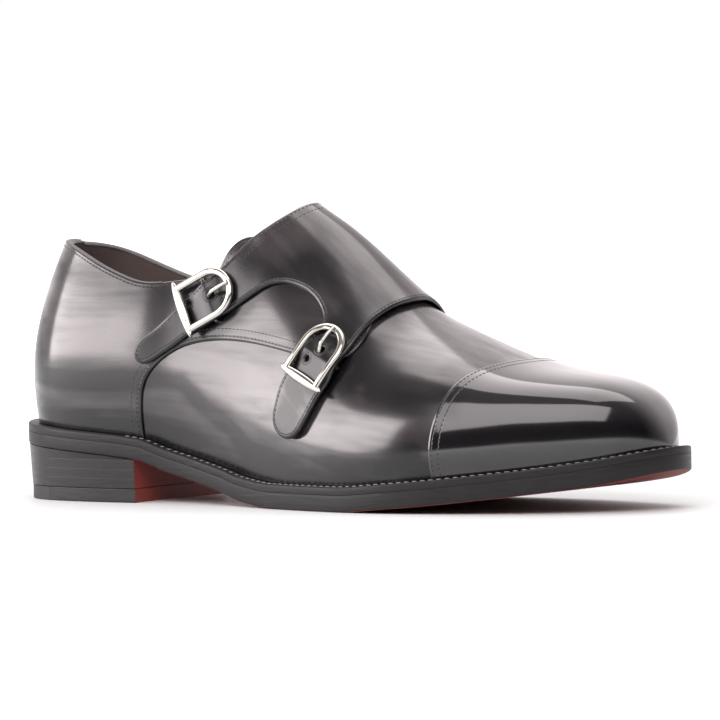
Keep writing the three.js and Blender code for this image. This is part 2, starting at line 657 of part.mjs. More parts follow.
function makeOutsole() {
  return soleplate([
    { margin: soleMargin, height: (x) => outsoleTop(x) - CLEARANCE },
    { margin: soleMargin, height: (x) => soleUnderside(x) + EDGE_ROUND },
    { margin: (x) => soleMargin(x) - EDGE_ROUND, height: soleUnderside },
  ]);
}

function makeWelt() {
  const plate = soleplate([
    { margin: (x) => soleMargin(x) - 0.4, height: weltTop },
    { margin: soleMargin, height: (x) => weltTop(x) - 0.6 },
    { margin: soleMargin, height: outsoleTop },
  ]);
  const hole = soleplate([
    { margin: () => -WELT_INSET, height: (x) => weltTop(x) + 5 },
    { margin: () => -WELT_INSET, height: (x) => outsoleTop(x) - 5 },
  ]);
  return plate.subtract(hole);
}

function makeInsole() {
  const board = soleplate([
    { margin: () => -INSOLE_TOP_INSET, height: (x) => lastBase(x) + INSOLE_THICKNESS },
    { margin: () => -CLEARANCE * 1.5, height: lastBase },
  ]);
  const filling = soleplate([
    { margin: () => -WELT_INSET - CLEARANCE * 2, height: (x) => lastBase(x) + 1 },
    { margin: () => -WELT_INSET - CLEARANCE * 2, height: outsoleTop },
  ]);
  return board.add(filling);
}

// Heel: stacked lifts on a top piece of leather with a rubber back corner
const HEEL_TAPER = 1.4;
const BREAST_HOLLOW = 2.5;

function heelPlate(fromZ, toZ) {
  const topZ = typeof toZ === 'number' ? () => toZ : toZ;
  const taper = (z) => (x) => soleMargin(x) - 0.3 - HEEL_TAPER * (1 - z / SEAT_HEIGHT);
  const top = typeof toZ === 'number' ? toZ : SEAT_HEIGHT;
  return soleplate([
    { margin: taper(top), height: topZ },
    { margin: taper(fromZ), height: () => fromZ },
  ], 0.5);
}

function breastSide(from, to) {
  const breast = [];
  for (let y = FAR / 2; y >= -FAR / 2; y -= FAR / 8) {
    breast.push([to - BREAST_HOLLOW * (1 - (2 * y / FAR) ** 2), y]);
  }
  return planPrism([[from, -FAR / 2], ...breast.toReversed(), [from, FAR / 2]], -5, SKY);
}

function makeHeelStack() {
  const stack = heelPlate(TOP_PIECE_THICKNESS + CLEARANCE, (x) => soleUnderside(x) - CLEARANCE);
  return stack.intersect(breastSide(-20, HEEL_LENGTH));
}

function makeTopPiece(from, to) {
  return heelPlate(0, TOP_PIECE_THICKNESS).intersect(planPrism(
    [[from, -FAR], [to, -FAR], [to, FAR], [from, FAR]], -5, SKY));
}

// Colours

const paint = (name, color, roughness, metalness) => (
  new THREE.MeshStandardMaterial({ name, color, roughness, metalness }));
const PATINA = paint('patina leather', 0x6f6a6c, 0.25, 0);
const POLISHED = paint('polished toe leather', 0x2c2a2f, 0.08, 0);
const LINING = paint('brown lining leather', 0x3d2b28, 0.6, 0);
const EDGE = paint('black burnished edge', 0x2b2a2c, 0.4, 0);
const STAINED = paint('red stained sole leather', 0x7a1d14, 0.6, 0);
const RUBBER = paint('black heel rubber', 0x1d1c1e, 0.7, 0);
const NICKEL = paint('polished nickel', 0xd8d6d0, 0.15, 1);

const shoe = new THREE.Group();

function addPiece(name, solid, material) {
  const mesh = solid.getMesh();
  const geometry = new THREE.BufferGeometry();
  geometry.setAttribute('position', new THREE.BufferAttribute(new Float32Array(mesh.vertProperties), 3));
  geometry.setIndex(Array.from(mesh.triVerts));
  const piece = new THREE.Mesh(geometry, material);
  piece.name = name;
  shoe.add(piece);
  return piece;
}

addPiece('upper', makeUpper(), PATINA);
addPiece('toe_cap', makeToeCap(), POLISHED);
addPiece('quarter_lateral', makeQuarterLateral(), PATINA);
addPiece('saddle', makeSaddle(), PATINA);
addPiece('tongue', makeTongue(), LINING);
addPiece('insole', makeInsole(), LINING);
addPiece('welt', makeWelt(), EDGE);
addPiece('outsole', makeOutsole(), STAINED);
addPiece('heel_stack', makeHeelStack(), EDGE);
addPiece('top_piece_leather', makeTopPiece(RUBBER_LENGTH + CLEARANCE, HEEL_LENGTH), EDGE);
addPiece('top_piece_rubber', makeTopPiece(-20, RUBBER_LENGTH), RUBBER);
for (const fastening of FASTENINGS) {
  addPiece(`buckle_${fastening.name}`, makeBuckle(fastening), NICKEL);
}

// Move the origin to the middle of the footprint
const box = new THREE.Box3().setFromObject(shoe);
const middle = box.getCenter(new THREE.Vector3());
shoe.position.set(-middle.x, -middle.y, -box.min.z);

export default shoe;
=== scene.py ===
# %% [markdown]
# # A monk strap shoe, dressed over its CAD parts
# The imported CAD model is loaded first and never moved. Everything made below lies on the same
# last as the CAD does, so the named sizes and tables of the shoe are written here once more.
# All places are in millimetres, measured from the back of the heel, the middle line and the
# floor. They are turned into metres, from the middle of the footprint, when a mesh is made.

# %% Load the frame
import math

import bpy
import numpy as np
from mathutils import Matrix, Vector
from mathutils.kdtree import KDTree


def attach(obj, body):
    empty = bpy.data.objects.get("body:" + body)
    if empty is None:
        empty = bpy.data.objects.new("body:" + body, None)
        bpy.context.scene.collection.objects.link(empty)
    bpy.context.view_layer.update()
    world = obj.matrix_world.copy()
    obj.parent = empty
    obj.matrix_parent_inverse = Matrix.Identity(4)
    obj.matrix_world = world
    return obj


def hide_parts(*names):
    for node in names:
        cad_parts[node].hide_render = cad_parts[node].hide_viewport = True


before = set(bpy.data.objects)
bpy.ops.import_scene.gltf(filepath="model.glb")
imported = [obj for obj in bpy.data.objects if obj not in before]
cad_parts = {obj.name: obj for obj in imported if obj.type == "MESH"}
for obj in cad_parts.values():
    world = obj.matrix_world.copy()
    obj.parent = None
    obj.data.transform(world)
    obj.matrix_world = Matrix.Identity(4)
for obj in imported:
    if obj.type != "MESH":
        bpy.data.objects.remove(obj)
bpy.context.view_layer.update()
MIDDLE = np.array([153.3, -1.845, 0.0])
bpy.ops.object.select_all(action="DESELECT")

# %% [markdown]
# ## The last
# A real shoe is drawn over a wooden form, the last. Here the form is a function: a share from
# heel to toe and a turn from the lateral edge (-1) over the ridge (0) to the medial edge (1)
# give a place on it. Curves through short tables keep it smooth, so any leather piece can be
# laid on it at its own height and follow the foot without dents.

# %% Curves through table columns


def smooth_curve(xs, ys, start=None, end=None):
    """Curve through points with the least bending; start and end set its slopes there."""
    xs, ys = np.array(xs, float), np.array(ys, float)
    count, gap = len(xs), np.diff(xs)
    rate = np.diff(ys) / gap
    matrix, rhs = np.eye(count), np.zeros(count)
    for i in range(1, count - 1):
        matrix[i, i - 1:i + 2] = gap[i - 1], 2 * (gap[i - 1] + gap[i]), gap[i]
        rhs[i] = 6 * (rate[i] - rate[i - 1])
    if start is not None:
        matrix[0, :2] = 2 * gap[0], gap[0]
        rhs[0] = 6 * (rate[0] - start)
    if end is not None:
        matrix[-1, -2:] = gap[-1], 2 * gap[-1]
        rhs[-1] = 6 * (end - rate[-1])
    bend = np.linalg.solve(matrix, rhs)

    def curve(x):
        x = np.asarray(x, float)
        i = np.clip(np.searchsorted(xs, x) - 1, 0, count - 2)
        a = (xs[i + 1] - x) / gap[i]
        b = 1 - a
        curl = ((a**3 - a) * bend[i] + (b**3 - b) * bend[i + 1]) * gap[i] ** 2 / 6
        return a * ys[i] + b * ys[i + 1] + curl

    return curve


def steady_curve(xs, ys):
    """Curve through points that never swings past them, for flat parts beside steep ones."""
    xs, ys = np.array(xs, float), np.array(ys, float)
    gap = np.diff(xs)
    rate = np.diff(ys) / gap
    slope = np.zeros(len(xs))
    slope[0], slope[-1] = rate[0], rate[-1]
    for i in range(1, len(xs) - 1):
        if rate[i - 1] * rate[i] > 0:
            slope[i] = 2 * rate[i - 1] * rate[i] / (rate[i - 1] + rate[i])

    def curve(x):
        x = np.clip(np.asarray(x, float), xs[0], xs[-1])
        i = np.clip(np.searchsorted(xs, x) - 1, 0, len(xs) - 2)
        u = (x - xs[i]) / gap[i]
        pull = u * (1 - u) ** 2 * gap[i] * slope[i] + u * u * (u - 1) * gap[i] * slope[i + 1]
        ease = u * u * (3 - 2 * u)
        return ys[i] * (1 - ease) + ys[i + 1] * ease + pull

    return curve


def ease(x, low, high):
    """Soft step from 0 at low to 1 at high."""
    u = np.clip((np.asarray(x, float) - low) / (high - low), 0, 1)
    return u * u * (3 - 2 * u)


# %% Named sizes and the last's tables
SOLE_LENGTH = 306
SEAT_HEIGHT = 23.5
TOE_SPRING = 16
OUTSOLE_THICKNESS = 6.6
WELT_THICKNESS = 3.2
HEEL_LEDGE = 4.4
FOREPART_LEDGE = 4.6
HEEL_LENGTH = 73
TOP_PIECE_THICKNESS = 5.6
RUBBER_LENGTH = 27
CLEARANCE = 0.3
UPPER_WALL = 1.8
OVERLAY_INNER = UPPER_WALL + CLEARANCE
OVERLAY_OUTER = OVERLAY_INNER + 1.0
SADDLE_INNER = OVERLAY_OUTER + 0.4
SADDLE_THICKNESS = 1.6

SOLE_PROFILE = [
    (0, 1, 0, 0.8), (0.1, 0.9, 0, 0.8), (0.24, 0.74, 0, 0.86), (0.285, 0.56, 0, 0.88),
    (0.34, 0.38, 0, 0.88), (0.382, 0.235, 0, 0.92), (0.42, 0.095, 0, 0.96), (0.48, 0, 0, 1),
    (0.59, 0, 0, 1), (0.68, 0, 0.12, 1), (0.742, 0, 0.225, 1), (0.8, 0, 0.344, 1),
    (0.843, 0, 0.4375, 1), (0.892, 0, 0.5625, 1), (0.938, 0, 0.706, 1), (1, 0, 1, 0.92),
]
LAST_SECTIONS = [
    (6.4, 0, 0, 0, 120, 0, 0), (10.2, -12.8, 12.8, 0, 122, 0, 0),
    (21.4, -23.6, 23.1, 0, 125, 0, 0), (42, -28.6, 26.6, 0, 128, 0, 0),
    (69, -28.6, 23.6, 0.5, 130, 0, 0.15), (99, -28.1, 19.1, 1, 129, 0, 0.55),
    (129, -33.1, 21.6, 1.5, 119.5, 0, 0.9), (158, -41.1, 31.6, 2, 102, 0, 1),
    (186, -46.6, 40.6, 2.5, 79.5, 0.15, 0.85), (212, -46.6, 43.6, 3, 66, 0.5, 0.5),
    (237, -41.6, 41.6, 4, 55.6, 0.85, 0.15), (259, -33.6, 36.1, 5, 50.6, 1, 0),
    (277, -23.6, 29.6, 5.5, 47.6, 1, 0), (291.4, -9.8, 20.3, 5.5, 40.5, 1, 0),
    (298, 5.5, 5.5, 5.5, 23.5, 1, 0),
]
SECTION_SHAPES = {
    "toe": ((1, 1.02, 1.01, 0.95, 0.78, 0.43, 0), (0, 0.22, 0.45, 0.68, 0.87, 0.975, 1)),
    "instep": ((1, 1.02, 0.96, 0.81, 0.59, 0.31, 0), (0, 0.17, 0.36, 0.56, 0.76, 0.93, 1)),
    "heel": ((1, 1.08, 1.08, 1.0, 0.88, 0.6, 0), (0, 0.17, 0.36, 0.56, 0.76, 0.93, 1)),
}
HEEL_CURVE = ((0, 12, 25, 45, 60, 74, 100), (2, 1, 1.2, 5.4, 11.2, 17.6, 29))
HEEL_CURVE_REACH = 0.45
print(len(LAST_SECTIONS), "sections of the last")

# %% Heights of the sole and places on the last
along, seat, spring, thick = np.array(SOLE_PROFILE).T
sole_underside = steady_curve(along * SOLE_LENGTH, seat * SEAT_HEIGHT + spring * TOE_SPRING)
outsole_depth = steady_curve(along * SOLE_LENGTH, thick * OUTSOLE_THICKNESS)


def outsole_top(x):
    return sole_underside(x) + outsole_depth(x)


def welt_top(x):
    return outsole_top(x) + WELT_THICKNESS


def last_base(x):
    return welt_top(x) + CLEARANCE


at, lateral, medial, ridge, top, toe, instep = np.array(LAST_SECTIONS).T
section_share = np.linspace(0, 1, len(at))
last_x = smooth_curve(section_share, at, 1, 1)
lateral_edge = smooth_curve(section_share, lateral)
medial_edge = smooth_curve(section_share, medial)
ridge_place = smooth_curve(section_share, ridge)
rise_table = top - last_base(at)
rise_table[-1] = 0
last_rise = smooth_curve(section_share, rise_table, 1)
toe_share = steady_curve(section_share, toe)
instep_share = steady_curve(section_share, instep)
climbs = np.linspace(0, 1, 7)
SHAPE_CURVES = {
    name: (smooth_curve(climbs, out), smooth_curve(climbs, up, None, 0))
    for name, (out, up) in SECTION_SHAPES.items()
}
heel_shift = smooth_curve(*HEEL_CURVE)


def last_point(share, turn):
    share, turn = np.broadcast_arrays(np.asarray(share, float), np.asarray(turn, float))
    climb = 1 - np.abs(turn)
    t, n = toe_share(share), instep_share(share)
    parts = (("toe", t), ("instep", n), ("heel", 1 - t - n))
    out = sum(weight * SHAPE_CURVES[name][0](climb) for name, weight in parts)
    up = sum(weight * SHAPE_CURVES[name][1](climb) for name, weight in parts)
    up = last_rise(share) * up
    middle = ridge_place(share)
    edge = np.where(turn < 0, lateral_edge(share), medial_edge(share))
    near = 1 - ease(share, 0, HEEL_CURVE_REACH)
    x = last_x(share)
    return np.stack([x + near * heel_shift(up), middle + (edge - middle) * out,
                     last_base(x) + up], -1)


NORMAL_STEP, LAST_SHARE = 1e-4, 0.9995


def last_normal(share, turn):
    share, turn = np.broadcast_arrays(np.asarray(share, float), np.asarray(turn, float))
    low, high = np.where(turn > 0, 0.0, -1.0), np.where(turn < 0, 0.0, 1.0)
    near = np.minimum(share, LAST_SHARE)
    behind = np.clip(share - NORMAL_STEP, 0, LAST_SHARE - NORMAL_STEP)
    forward = last_point(near + NORMAL_STEP, turn) - last_point(behind, turn)
    across = (last_point(near, np.clip(turn + NORMAL_STEP, low, high))
              - last_point(near, np.clip(turn - NORMAL_STEP, low, high)))
    normal = np.cross(forward, across)
    normal[share <= 0, 1] = 0
    normal[(share <= 0) & (turn == 0)] = (-1, 0, 1)
    normal[np.abs(turn) >= 1, 2] = 0
    normal[share >= 1] = (1, 0, 0)
    return normal / np.maximum(np.linalg.norm(normal, axis=-1, keepdims=True), 1e-12)


def over_last(share, turn, lift):
    """Place at a height over the last; the lower edge and the toe stay on its base."""
    point = last_point(share, turn) + last_normal(share, turn) * np.asarray(lift)[..., None]
    flat = (np.abs(turn) >= 1) | (np.asarray(share) >= 1)
    point[..., 2] = np.where(flat, last_base(point[..., 0]), point[..., 2])
    return point


print("instep point:", last_point(0.5, 0.0).round(1))

# %% [markdown]
# ## Leather sheets
# A pattern cutter lays a skin flat and cuts it along a line. The same is done here: a grid is
# added flat, with the share along X and the turn along Y, then cut along lines drawn in the
# side view, and only then laid over the last. A boolean would leave ragged rims on such a thin
# curved sheet, so each triangle that a line crosses is split exactly there. More splits close
# to the rim let the edge roll down like folded leather.

# %% Flat sheet and its cuts
SHARE, TURN, EDGE = 0, 1, 2


def flat_sheet(columns, rows, shares=(0, 1), turns=(-1, 1)):
    """Spots of share and turn, and the triangles between them."""
    bpy.ops.mesh.primitive_grid_add(x_subdivisions=columns, y_subdivisions=rows, size=1)
    flat = bpy.context.object
    bpy.ops.object.mode_set(mode="EDIT")
    bpy.ops.mesh.quads_convert_to_tris(quad_method="SHORTEST_DIAGONAL")
    bpy.ops.object.mode_set(mode="OBJECT")
    spots = np.zeros(len(flat.data.vertices) * 3)
    flat.data.vertices.foreach_get("co", spots)
    spots = spots.reshape(-1, 3) + 0.5
    faces = np.zeros(len(flat.data.loops), int)
    flat.data.loops.foreach_get("vertex_index", faces)
    mesh = flat.data
    bpy.data.objects.remove(flat)
    bpy.data.meshes.remove(mesh)
    share = shares[0] + spots[:, 0] * (shares[1] - shares[0])
    turn = turns[0] + spots[:, 1] * (turns[1] - turns[0])
    turn[np.abs(turn) < 1e-6] = 0
    share, turn = np.clip(share, 0, 1), np.clip(turn, -1, 1)
    return np.stack([share, turn], 1), faces.reshape(-1, 3)


def merged(points, faces, digits=3):
    """Points at the same place become one; gives which points stay, and the faces left."""
    _, first, where = np.unique(points.round(digits), axis=0, return_index=True,
                                return_inverse=True)
    faces = where.reshape(-1)[faces]
    a, b, c = faces.T
    return first, faces[(a != b) & (b != c) & (c != a)]


def compacted(spots, faces):
    first, faces = merged(spots, faces, 9)
    used, compact = np.unique(faces, return_inverse=True)
    return spots[first][used], compact.reshape(-1, 3)


def split(spots, faces, field, keep="both"):
    """Cuts the triangles where field is 0; keep says whether all or the part above stays."""
    field = np.where(np.abs(field) < 1e-4, 0, field)
    above = field >= 0
    count = above[faces].sum(1)
    mixed = faces[(count == 1) | (count == 2)]
    lone_above = count[(count == 1) | (count == 2)] == 1
    lone = np.argmax(above[mixed] == lone_above[:, None], axis=1)
    rows = np.arange(len(mixed))
    a, b, c = (mixed[rows, (lone + k) % 3] for k in range(3))
    pairs = np.sort(np.concatenate([np.stack([a, b], 1), np.stack([a, c], 1)]), axis=1)
    edges, where = np.unique(pairs, axis=0, return_inverse=True)
    where = where.reshape(-1)
    f0, f1 = field[edges[:, 0]], field[edges[:, 1]]
    weight = (f0 / (f0 - f1))[:, None]
    fresh = spots[edges[:, 0]] * (1 - weight) + spots[edges[:, 1]] * weight
    p, q = len(spots) + where[:len(mixed)], len(spots) + where[len(mixed):]
    lone_part = np.stack([a, p, q], 1)
    rest = np.concatenate([np.stack([p, b, c], 1), np.stack([p, c, q], 1)])
    twice = np.concatenate([lone_above, lone_above])
    inside = np.concatenate([faces[count == 3], lone_part[lone_above], rest[~twice]])
    outside = np.concatenate([faces[count == 0], lone_part[~lone_above], rest[twice]])
    every = np.concatenate([spots, fresh])
    if keep == "above":
        return compacted(every, inside)
    return compacted(every, np.concatenate([inside, outside]))


def rim_edges(faces):
    """Sides that belong to one triangle only."""
    sides = np.concatenate([faces[:, [0, 1]], faces[:, [1, 2]], faces[:, [2, 0]]])
    size = faces.max() + 1
    return sides[~np.isin(sides[:, 0] * size + sides[:, 1], sides[:, 1] * size + sides[:, 0])]


def chains(edges):
    """Joins directed edges into runs of vertices."""
    following = dict(map(tuple, edges.tolist()))
    starts = [a for a in following if a not in set(following.values())]
    runs, seen = [], set()
    for start in starts + list(following):
        if start in seen:
            continue
        run = [start]
        seen.add(start)
        while run[-1] in following and following[run[-1]] not in seen:
            run.append(following[run[-1]])
            seen.add(run[-1])
        if following.get(run[-1]) == run[0]:
            run.append(run[0])
        runs.append(run)
    return [run for run in runs if len(run) > 2]


# %% Lines drawn in the side view


def rounded(points, steps=8):
    points = np.array(points, float)
    gaps = np.maximum(np.linalg.norm(np.diff(points, axis=0), axis=1), 1e-6)
    place = np.concatenate([[0], np.cumsum(gaps)])
    curves = [smooth_curve(place, points[:, k]) for k in range(2)]
    fine = np.linspace(0, place[-1], steps * (len(points) - 1) + 1)
    return np.stack([c(fine) for c in curves], 1)


def line_distance(spots, line):
    """Distance in the drawing from each spot to a line of points."""
    best = np.full(len(spots), 1e9)
    for a, b in zip(line[:-1], line[1:]):
        step = b - a
        u = np.clip(((spots - a) @ step) / max(step @ step, 1e-12), 0, 1)
        best = np.minimum(best, np.linalg.norm(spots - a - u[:, None] * step, axis=1))
    return best


def inside_outline(spots, outline):
    """Distance to a closed outline, above 0 inside it."""
    outline = np.asarray(outline, float)
    closed = np.concatenate([outline, outline[:1]])
    inner = np.zeros(len(spots), bool)
    x, z = spots.T
    for (x0, z0), (x1, z1) in zip(closed[:-1], closed[1:]):
        if z0 != z1:
            crosses = ((z0 > z) != (z1 > z)) & (x < (x1 - x0) * (z - z0) / (z1 - z0) + x0)
            inner ^= crosses
    return np.where(inner, 1, -1) * line_distance(spots, closed)


def joined(*parts):
    return np.concatenate([np.asarray(part, float).reshape(-1, 2) for part in parts])


SKY, FLOOR = 160, 10
COLLAR_BACK = (-20, 106.5)
COLLAR_LATERAL = rounded([(8, 106), (20, 105.4), (36, 103), (51, 97), (63, 92), (75, 88.6),
                          (86, 89)])
COLLAR_MEDIAL = rounded([(8, 106), (20, 104.5), (36, 97.5), (52, 91), (68, 87.5), (86, 88)])
THROAT_LATERAL = rounded([(86, 89), (102, 91), (120, 95), (140, 94), (158, 86), (172, 79)])
THROAT_MEDIAL = rounded([(86, 88), (102, 93), (120, 99), (140, 98), (158, 90), (172, 82)])
SEAM_BACK = [(75, 20), (75, 41), (77, 49), (83, 56.5), (94, 63), (108, 65.8), (126, 65.4),
             (147, 62.2)]
QUARTER_SEAM = rounded(SEAM_BACK + [(160, 60), (173, 59.6), (179.6, 61.6), (182.6, 67),
                                    (182.6, 73), (172, 82)])
QUARTER_SEAM_MEDIAL = rounded(SEAM_BACK + [(163, 60), (180, 57)])
SADDLE_FRONT_MEDIAL = rounded([(180, 57), (183.4, 62), (186.4, 68), (188.8, 74), (190.2, 79),
                               (190.5, 82.4), (190.5, 86)])
SADDLE_TOP_MEDIAL = rounded([(86, 88), (100, 92), (114, 100.5), (128, 112), (141, 123)])
SADDLE_OUTLINE = joined(
    [(190.5, SKY), (190.5, 86)],
    rounded([(190.5, 86), (190.5, 82.4), (188.8, 81), (186.4, 78.4), (184, 74.8), (182, 70.5),
             (180.2, 65.5), (178.2, 60.8), (175.9, 55.2), (173.5, 49.7), (170.6, 45.4),
             (167.6, 39.9), (164.4, 34.6), (161, 30), (156, 27.9), (150.4, 29.4),
             (146.8, 34.5), (147.2, 41), (148.9, 48), (151.3, 53.6), (157, 63), (162.3, 70.2),
             (163.7, 74.4), (161.4, 79), (157, 83.4), (149, 87.5), (141, 89), (134.5, 88),
             (128.5, 84.8), (118, 78), (106, 71.6), (98.3, 67.9), (92.7, 64.1), (87.7, 61),
             (81.6, 57.4), (77, 56.3), (73.8, 58.4), (74.5, 64.1), (82, 70.4), (90, 77.3),
             (105, 89.8), (113, 96.7), (123, 107.3), (133, 115.7), (141, 123), (146, 128)]),
    [(146, SKY)])
OPENING_LATERAL, OPENING_MEDIAL = (
    joined([COLLAR_BACK], collar, throat[1:], [(172, SKY), (-20, SKY)])
    for collar, throat in ((COLLAR_LATERAL, THROAT_LATERAL), (COLLAR_MEDIAL, THROAT_MEDIAL)))
print(len(SADDLE_OUTLINE), "points round the saddle's lateral half")

# %% Sheet cut to an outline and given its thickness


FAR_OUTSIDE = -50.0


def side_field(spots, lift, lateral_outline, medial_outline):
    """Distance inside the outline of its own half, for each spot of a sheet."""
    place = over_last(spots[:, SHARE], spots[:, TURN], lift)[:, [0, 2]]
    on_lateral = spots[:, TURN] < 0
    field = np.full(len(spots), FAR_OUTSIDE)
    for choice, outline in ((on_lateral, lateral_outline), (~on_lateral, medial_outline)):
        if outline is not None and choice.any():
            field[choice] = inside_outline(place[choice], outline)
    return field


def place_in_metres(points):
    return (points - MIDDLE) * 0.001


def make_piece(name, points, faces, attributes=None, smooth=50):
    """Mesh from places in millimetres, smooth except at folds sharper than the angle."""
    mesh = bpy.data.meshes.new(name)
    mesh.from_pydata(place_in_metres(np.asarray(points)).tolist(), [],
                     faces.tolist() if isinstance(faces, np.ndarray) else faces)
    for label, values in (attributes or {}).items():
        layer = mesh.attributes.new(label, "FLOAT", "POINT")
        layer.data.foreach_set("value", np.asarray(values, np.float32))
    mesh.validate()
    piece = bpy.data.objects.new(name, mesh)
    bpy.context.scene.collection.objects.link(piece)
    bpy.ops.object.select_all(action="DESELECT")
    piece.select_set(True)
    bpy.context.view_layer.objects.active = piece
    bpy.ops.object.shade_smooth_by_angle(angle=math.radians(smooth))
    print(name, len(mesh.polygons), "faces")
    return piece


FEATHER_TURN, FEATHER_SHARE = 0.9995, 0.999
RIM_STEP, RIM_REACH = 0.12, 14


def with_edge_distance(sheet, lift):
    """Adds to each spot its distance over the leather from the nearest cut edge."""
    spots, faces = sheet
    spots = spots[:, :2]
    points = over_last(spots[:, SHARE], spots[:, TURN], lift(spots[:, SHARE], spots[:, TURN]))
    first, closed = merged(points, faces)
    edges = first[rim_edges(closed)]
    feather = (np.abs(spots[edges, TURN]) > FEATHER_TURN) | (spots[edges, SHARE] > FEATHER_SHARE)
    dense = []
    for a, b in points[edges[~feather.all(1)]]:
        steps = max(int(np.linalg.norm(b - a) / RIM_STEP), 1)
        dense.extend(a + (b - a) * k / steps for k in range(steps + 1))
    tree = KDTree(len(dense))
    for i, spot in enumerate(dense):
        tree.insert(spot, i)
    tree.balance()
    distance = np.array([tree.find(p)[2] for p in points])
    return np.column_stack([spots, np.minimum(distance, RIM_REACH)]), faces


def roll_edge(sheet, distances=(0.12, 0.35, 0.7, 1.1, 1.6)):
    """Splits the sheet along lines close to its rim."""
    spots, faces = sheet
    for distance in distances:
        spots, faces = split(spots, faces, spots[:, EDGE] - distance)
    return spots, faces


EDGE_THICKNESS = 0.35


def thick_sheet(name, sheet, inner, outer, roll=1.0, painted=None):
    """Closed leather piece between two lifts, with its cut edges rolled down."""
    spots, faces = sheet
    share, turn, edge = spots[:, SHARE], spots[:, TURN], spots[:, EDGE]
    drop = np.sqrt(1 - (1 - np.clip(edge / roll, 0, 1)) ** 2) if roll else 1
    low, high = inner(share, turn), outer(share, turn)
    thickness = (high - low) * (EDGE_THICKNESS + (1 - EDGE_THICKNESS) * drop)
    over = over_last(share, turn, low + thickness)
    under = over_last(share, turn, low)
    first, faces = merged(over, faces)
    over, under, edge = over[first], under[first], edge[first]
    count = len(over)
    a, b = rim_edges(faces).T
    rim = np.concatenate([np.stack([b, a, a + count], 1), np.stack([b, a + count, b + count], 1)])
    points = np.concatenate([over, under])
    every = np.concatenate([faces, faces[:, ::-1] + count, rim])
    tone = painted(over) if painted else np.full(count, 0.5)
    return make_piece(name, points, every, {
        "edge": np.concatenate([edge, np.zeros(count)]),
        "tone": np.concatenate([tone, tone]),
    })


def constant(value):
    return lambda share, turn: np.full(len(share), float(value))


# %% [markdown]
# ## Patina and painted light
# The leather is grey crust, darkened by hand with a brush and then polished; part of the tone is
# that patina. The rest is painted light: a dark wavy band along the counter and vamp is a painted
# reflection of the dark studio, the lighter fields on the flanks are painted highlights, and a
# painted shade darkens the leather low by the welt. Each stroke is a short line in the side view
# with a width and a strength, blurred like wax worked in with a cloth.

# %% Brush strokes of patina and painted light
# Patina and painted light in one list. The first stroke and the one from x 196 to 232 are a painted
# reflection of the dark studio, the light strokes are painted highlights, and the stroke at x 178
# to 196 is painted shadow beside the lower strap. The other dark strokes darken the heel's back,
# the collar and the instep.
PATINA_AND_LIGHT_STROKES = [
    ([(8, 52), (40, 50), (75, 50), (94, 49), (106, 39), (119, 32), (130, 22), (148, 17.5),
      (190, 18.5), (216, 24)], 3.6, -0.8),
    ([(2, 78), (16, 70)], 7, -0.55), ([(4, 62), (20, 60)], 5, -0.45),
    ([(32, 62), (62, 66)], 8, 0.3), ([(12, 98), (38, 94), (60, 86), (86, 82)], 7, -0.4),
    ([(12, 100), (14, 70), (10, 45), (9, 30)], 6, -0.4),
    ([(66, 70), (90, 74)], 7, 0.3), ([(92, 57), (120, 52), (150, 46)], 8, 0.4),
    ([(178, 49), (186, 60), (196, 54)], 7, -0.6), ([(196, 46), (232, 41)], 5, -0.4),
    ([(215, 58), (200, 66)], 6, 0.25), ([(190, 33), (226, 31)], 6, 0.25),
    ([(131, 86), (150, 98), (168, 88)], 6, -0.35), ([(176, 82), (190, 76)], 5, -0.3),
    ([(120, 95), (140, 108)], 5, 0.15),
]
# Painted shadow on the quarter under the upper strap.
STRAP_SHADOW_STROKES = [([(88, 60), (100, 65), (112, 71), (124, 80)], 4.5, -0.75)]
STRAP_STROKES = [([(78, 60), (92, 69), (108, 80), (122, 92)], 8, -0.8),
                 ([(153, 32), (155, 44), (163, 58), (172, 70)], 8, -0.8)]
# Painted shade: the leather is darkened low down, close to the welt.
WELT_SHADE, WELT_SHADE_HEIGHT = -0.6, 11


def patina_and_painted_light(points, strokes=()):
    """Tone from 0, dark, to 1, light: half tone, painted shade at the welt, and strokes of patina
    and painted light.
    """
    flat = points[:, [0, 2]]
    rise = points[:, 2] - last_base(points[:, 0])
    tone = 0.5 + WELT_SHADE * np.exp(-((rise / WELT_SHADE_HEIGHT) ** 2))
    for line, width, strength in PATINA_AND_LIGHT_STROKES + list(strokes):
        away = line_distance(flat, np.array(line, float))
        tone += strength * np.exp(-((away / width) ** 2))
    return np.clip(tone, 0, 1)


# %% [markdown]
# ## Finishes
# Each finish is a node material. Effects that several of them share are node groups: streaks
# left by the brush, the burnished edge with the pressed channel of a stitch row, and the fine
# grain of leather.

# %% Node helpers and shared effects


def feed(tree, socket, value):
    if isinstance(value, bpy.types.NodeSocket):
        tree.links.new(value, socket)
    else:
        socket.default_value = value


def add(tree, kind, inputs=None, **settings):
    item = tree.nodes.new(kind)
    for label, value in settings.items():
        setattr(item, label, value)
    for label, value in (inputs or {}).items():
        feed(tree, item.inputs[label], value)
    return item


def maths(tree, operation, a, b=0.0, c=0.0, clamp=False):
    item = tree.nodes.new("ShaderNodeMath")
    item.operation, item.use_clamp = operation, clamp
    for socket, value in zip(item.inputs, (a, b, c)):
        feed(tree, socket, value)
    return item.outputs[0]


MIX_FACTOR, MIX_A, MIX_B, MIX_RESULT = 0, 6, 7, 2


def mixed_colour(tree, factor, a, b):
    item = tree.nodes.new("ShaderNodeMix")
    item.data_type = "RGBA"
    for index, value in ((MIX_FACTOR, factor), (MIX_A, a), (MIX_B, b)):
        feed(tree, item.inputs[index], value)
    return item.outputs[MIX_RESULT]


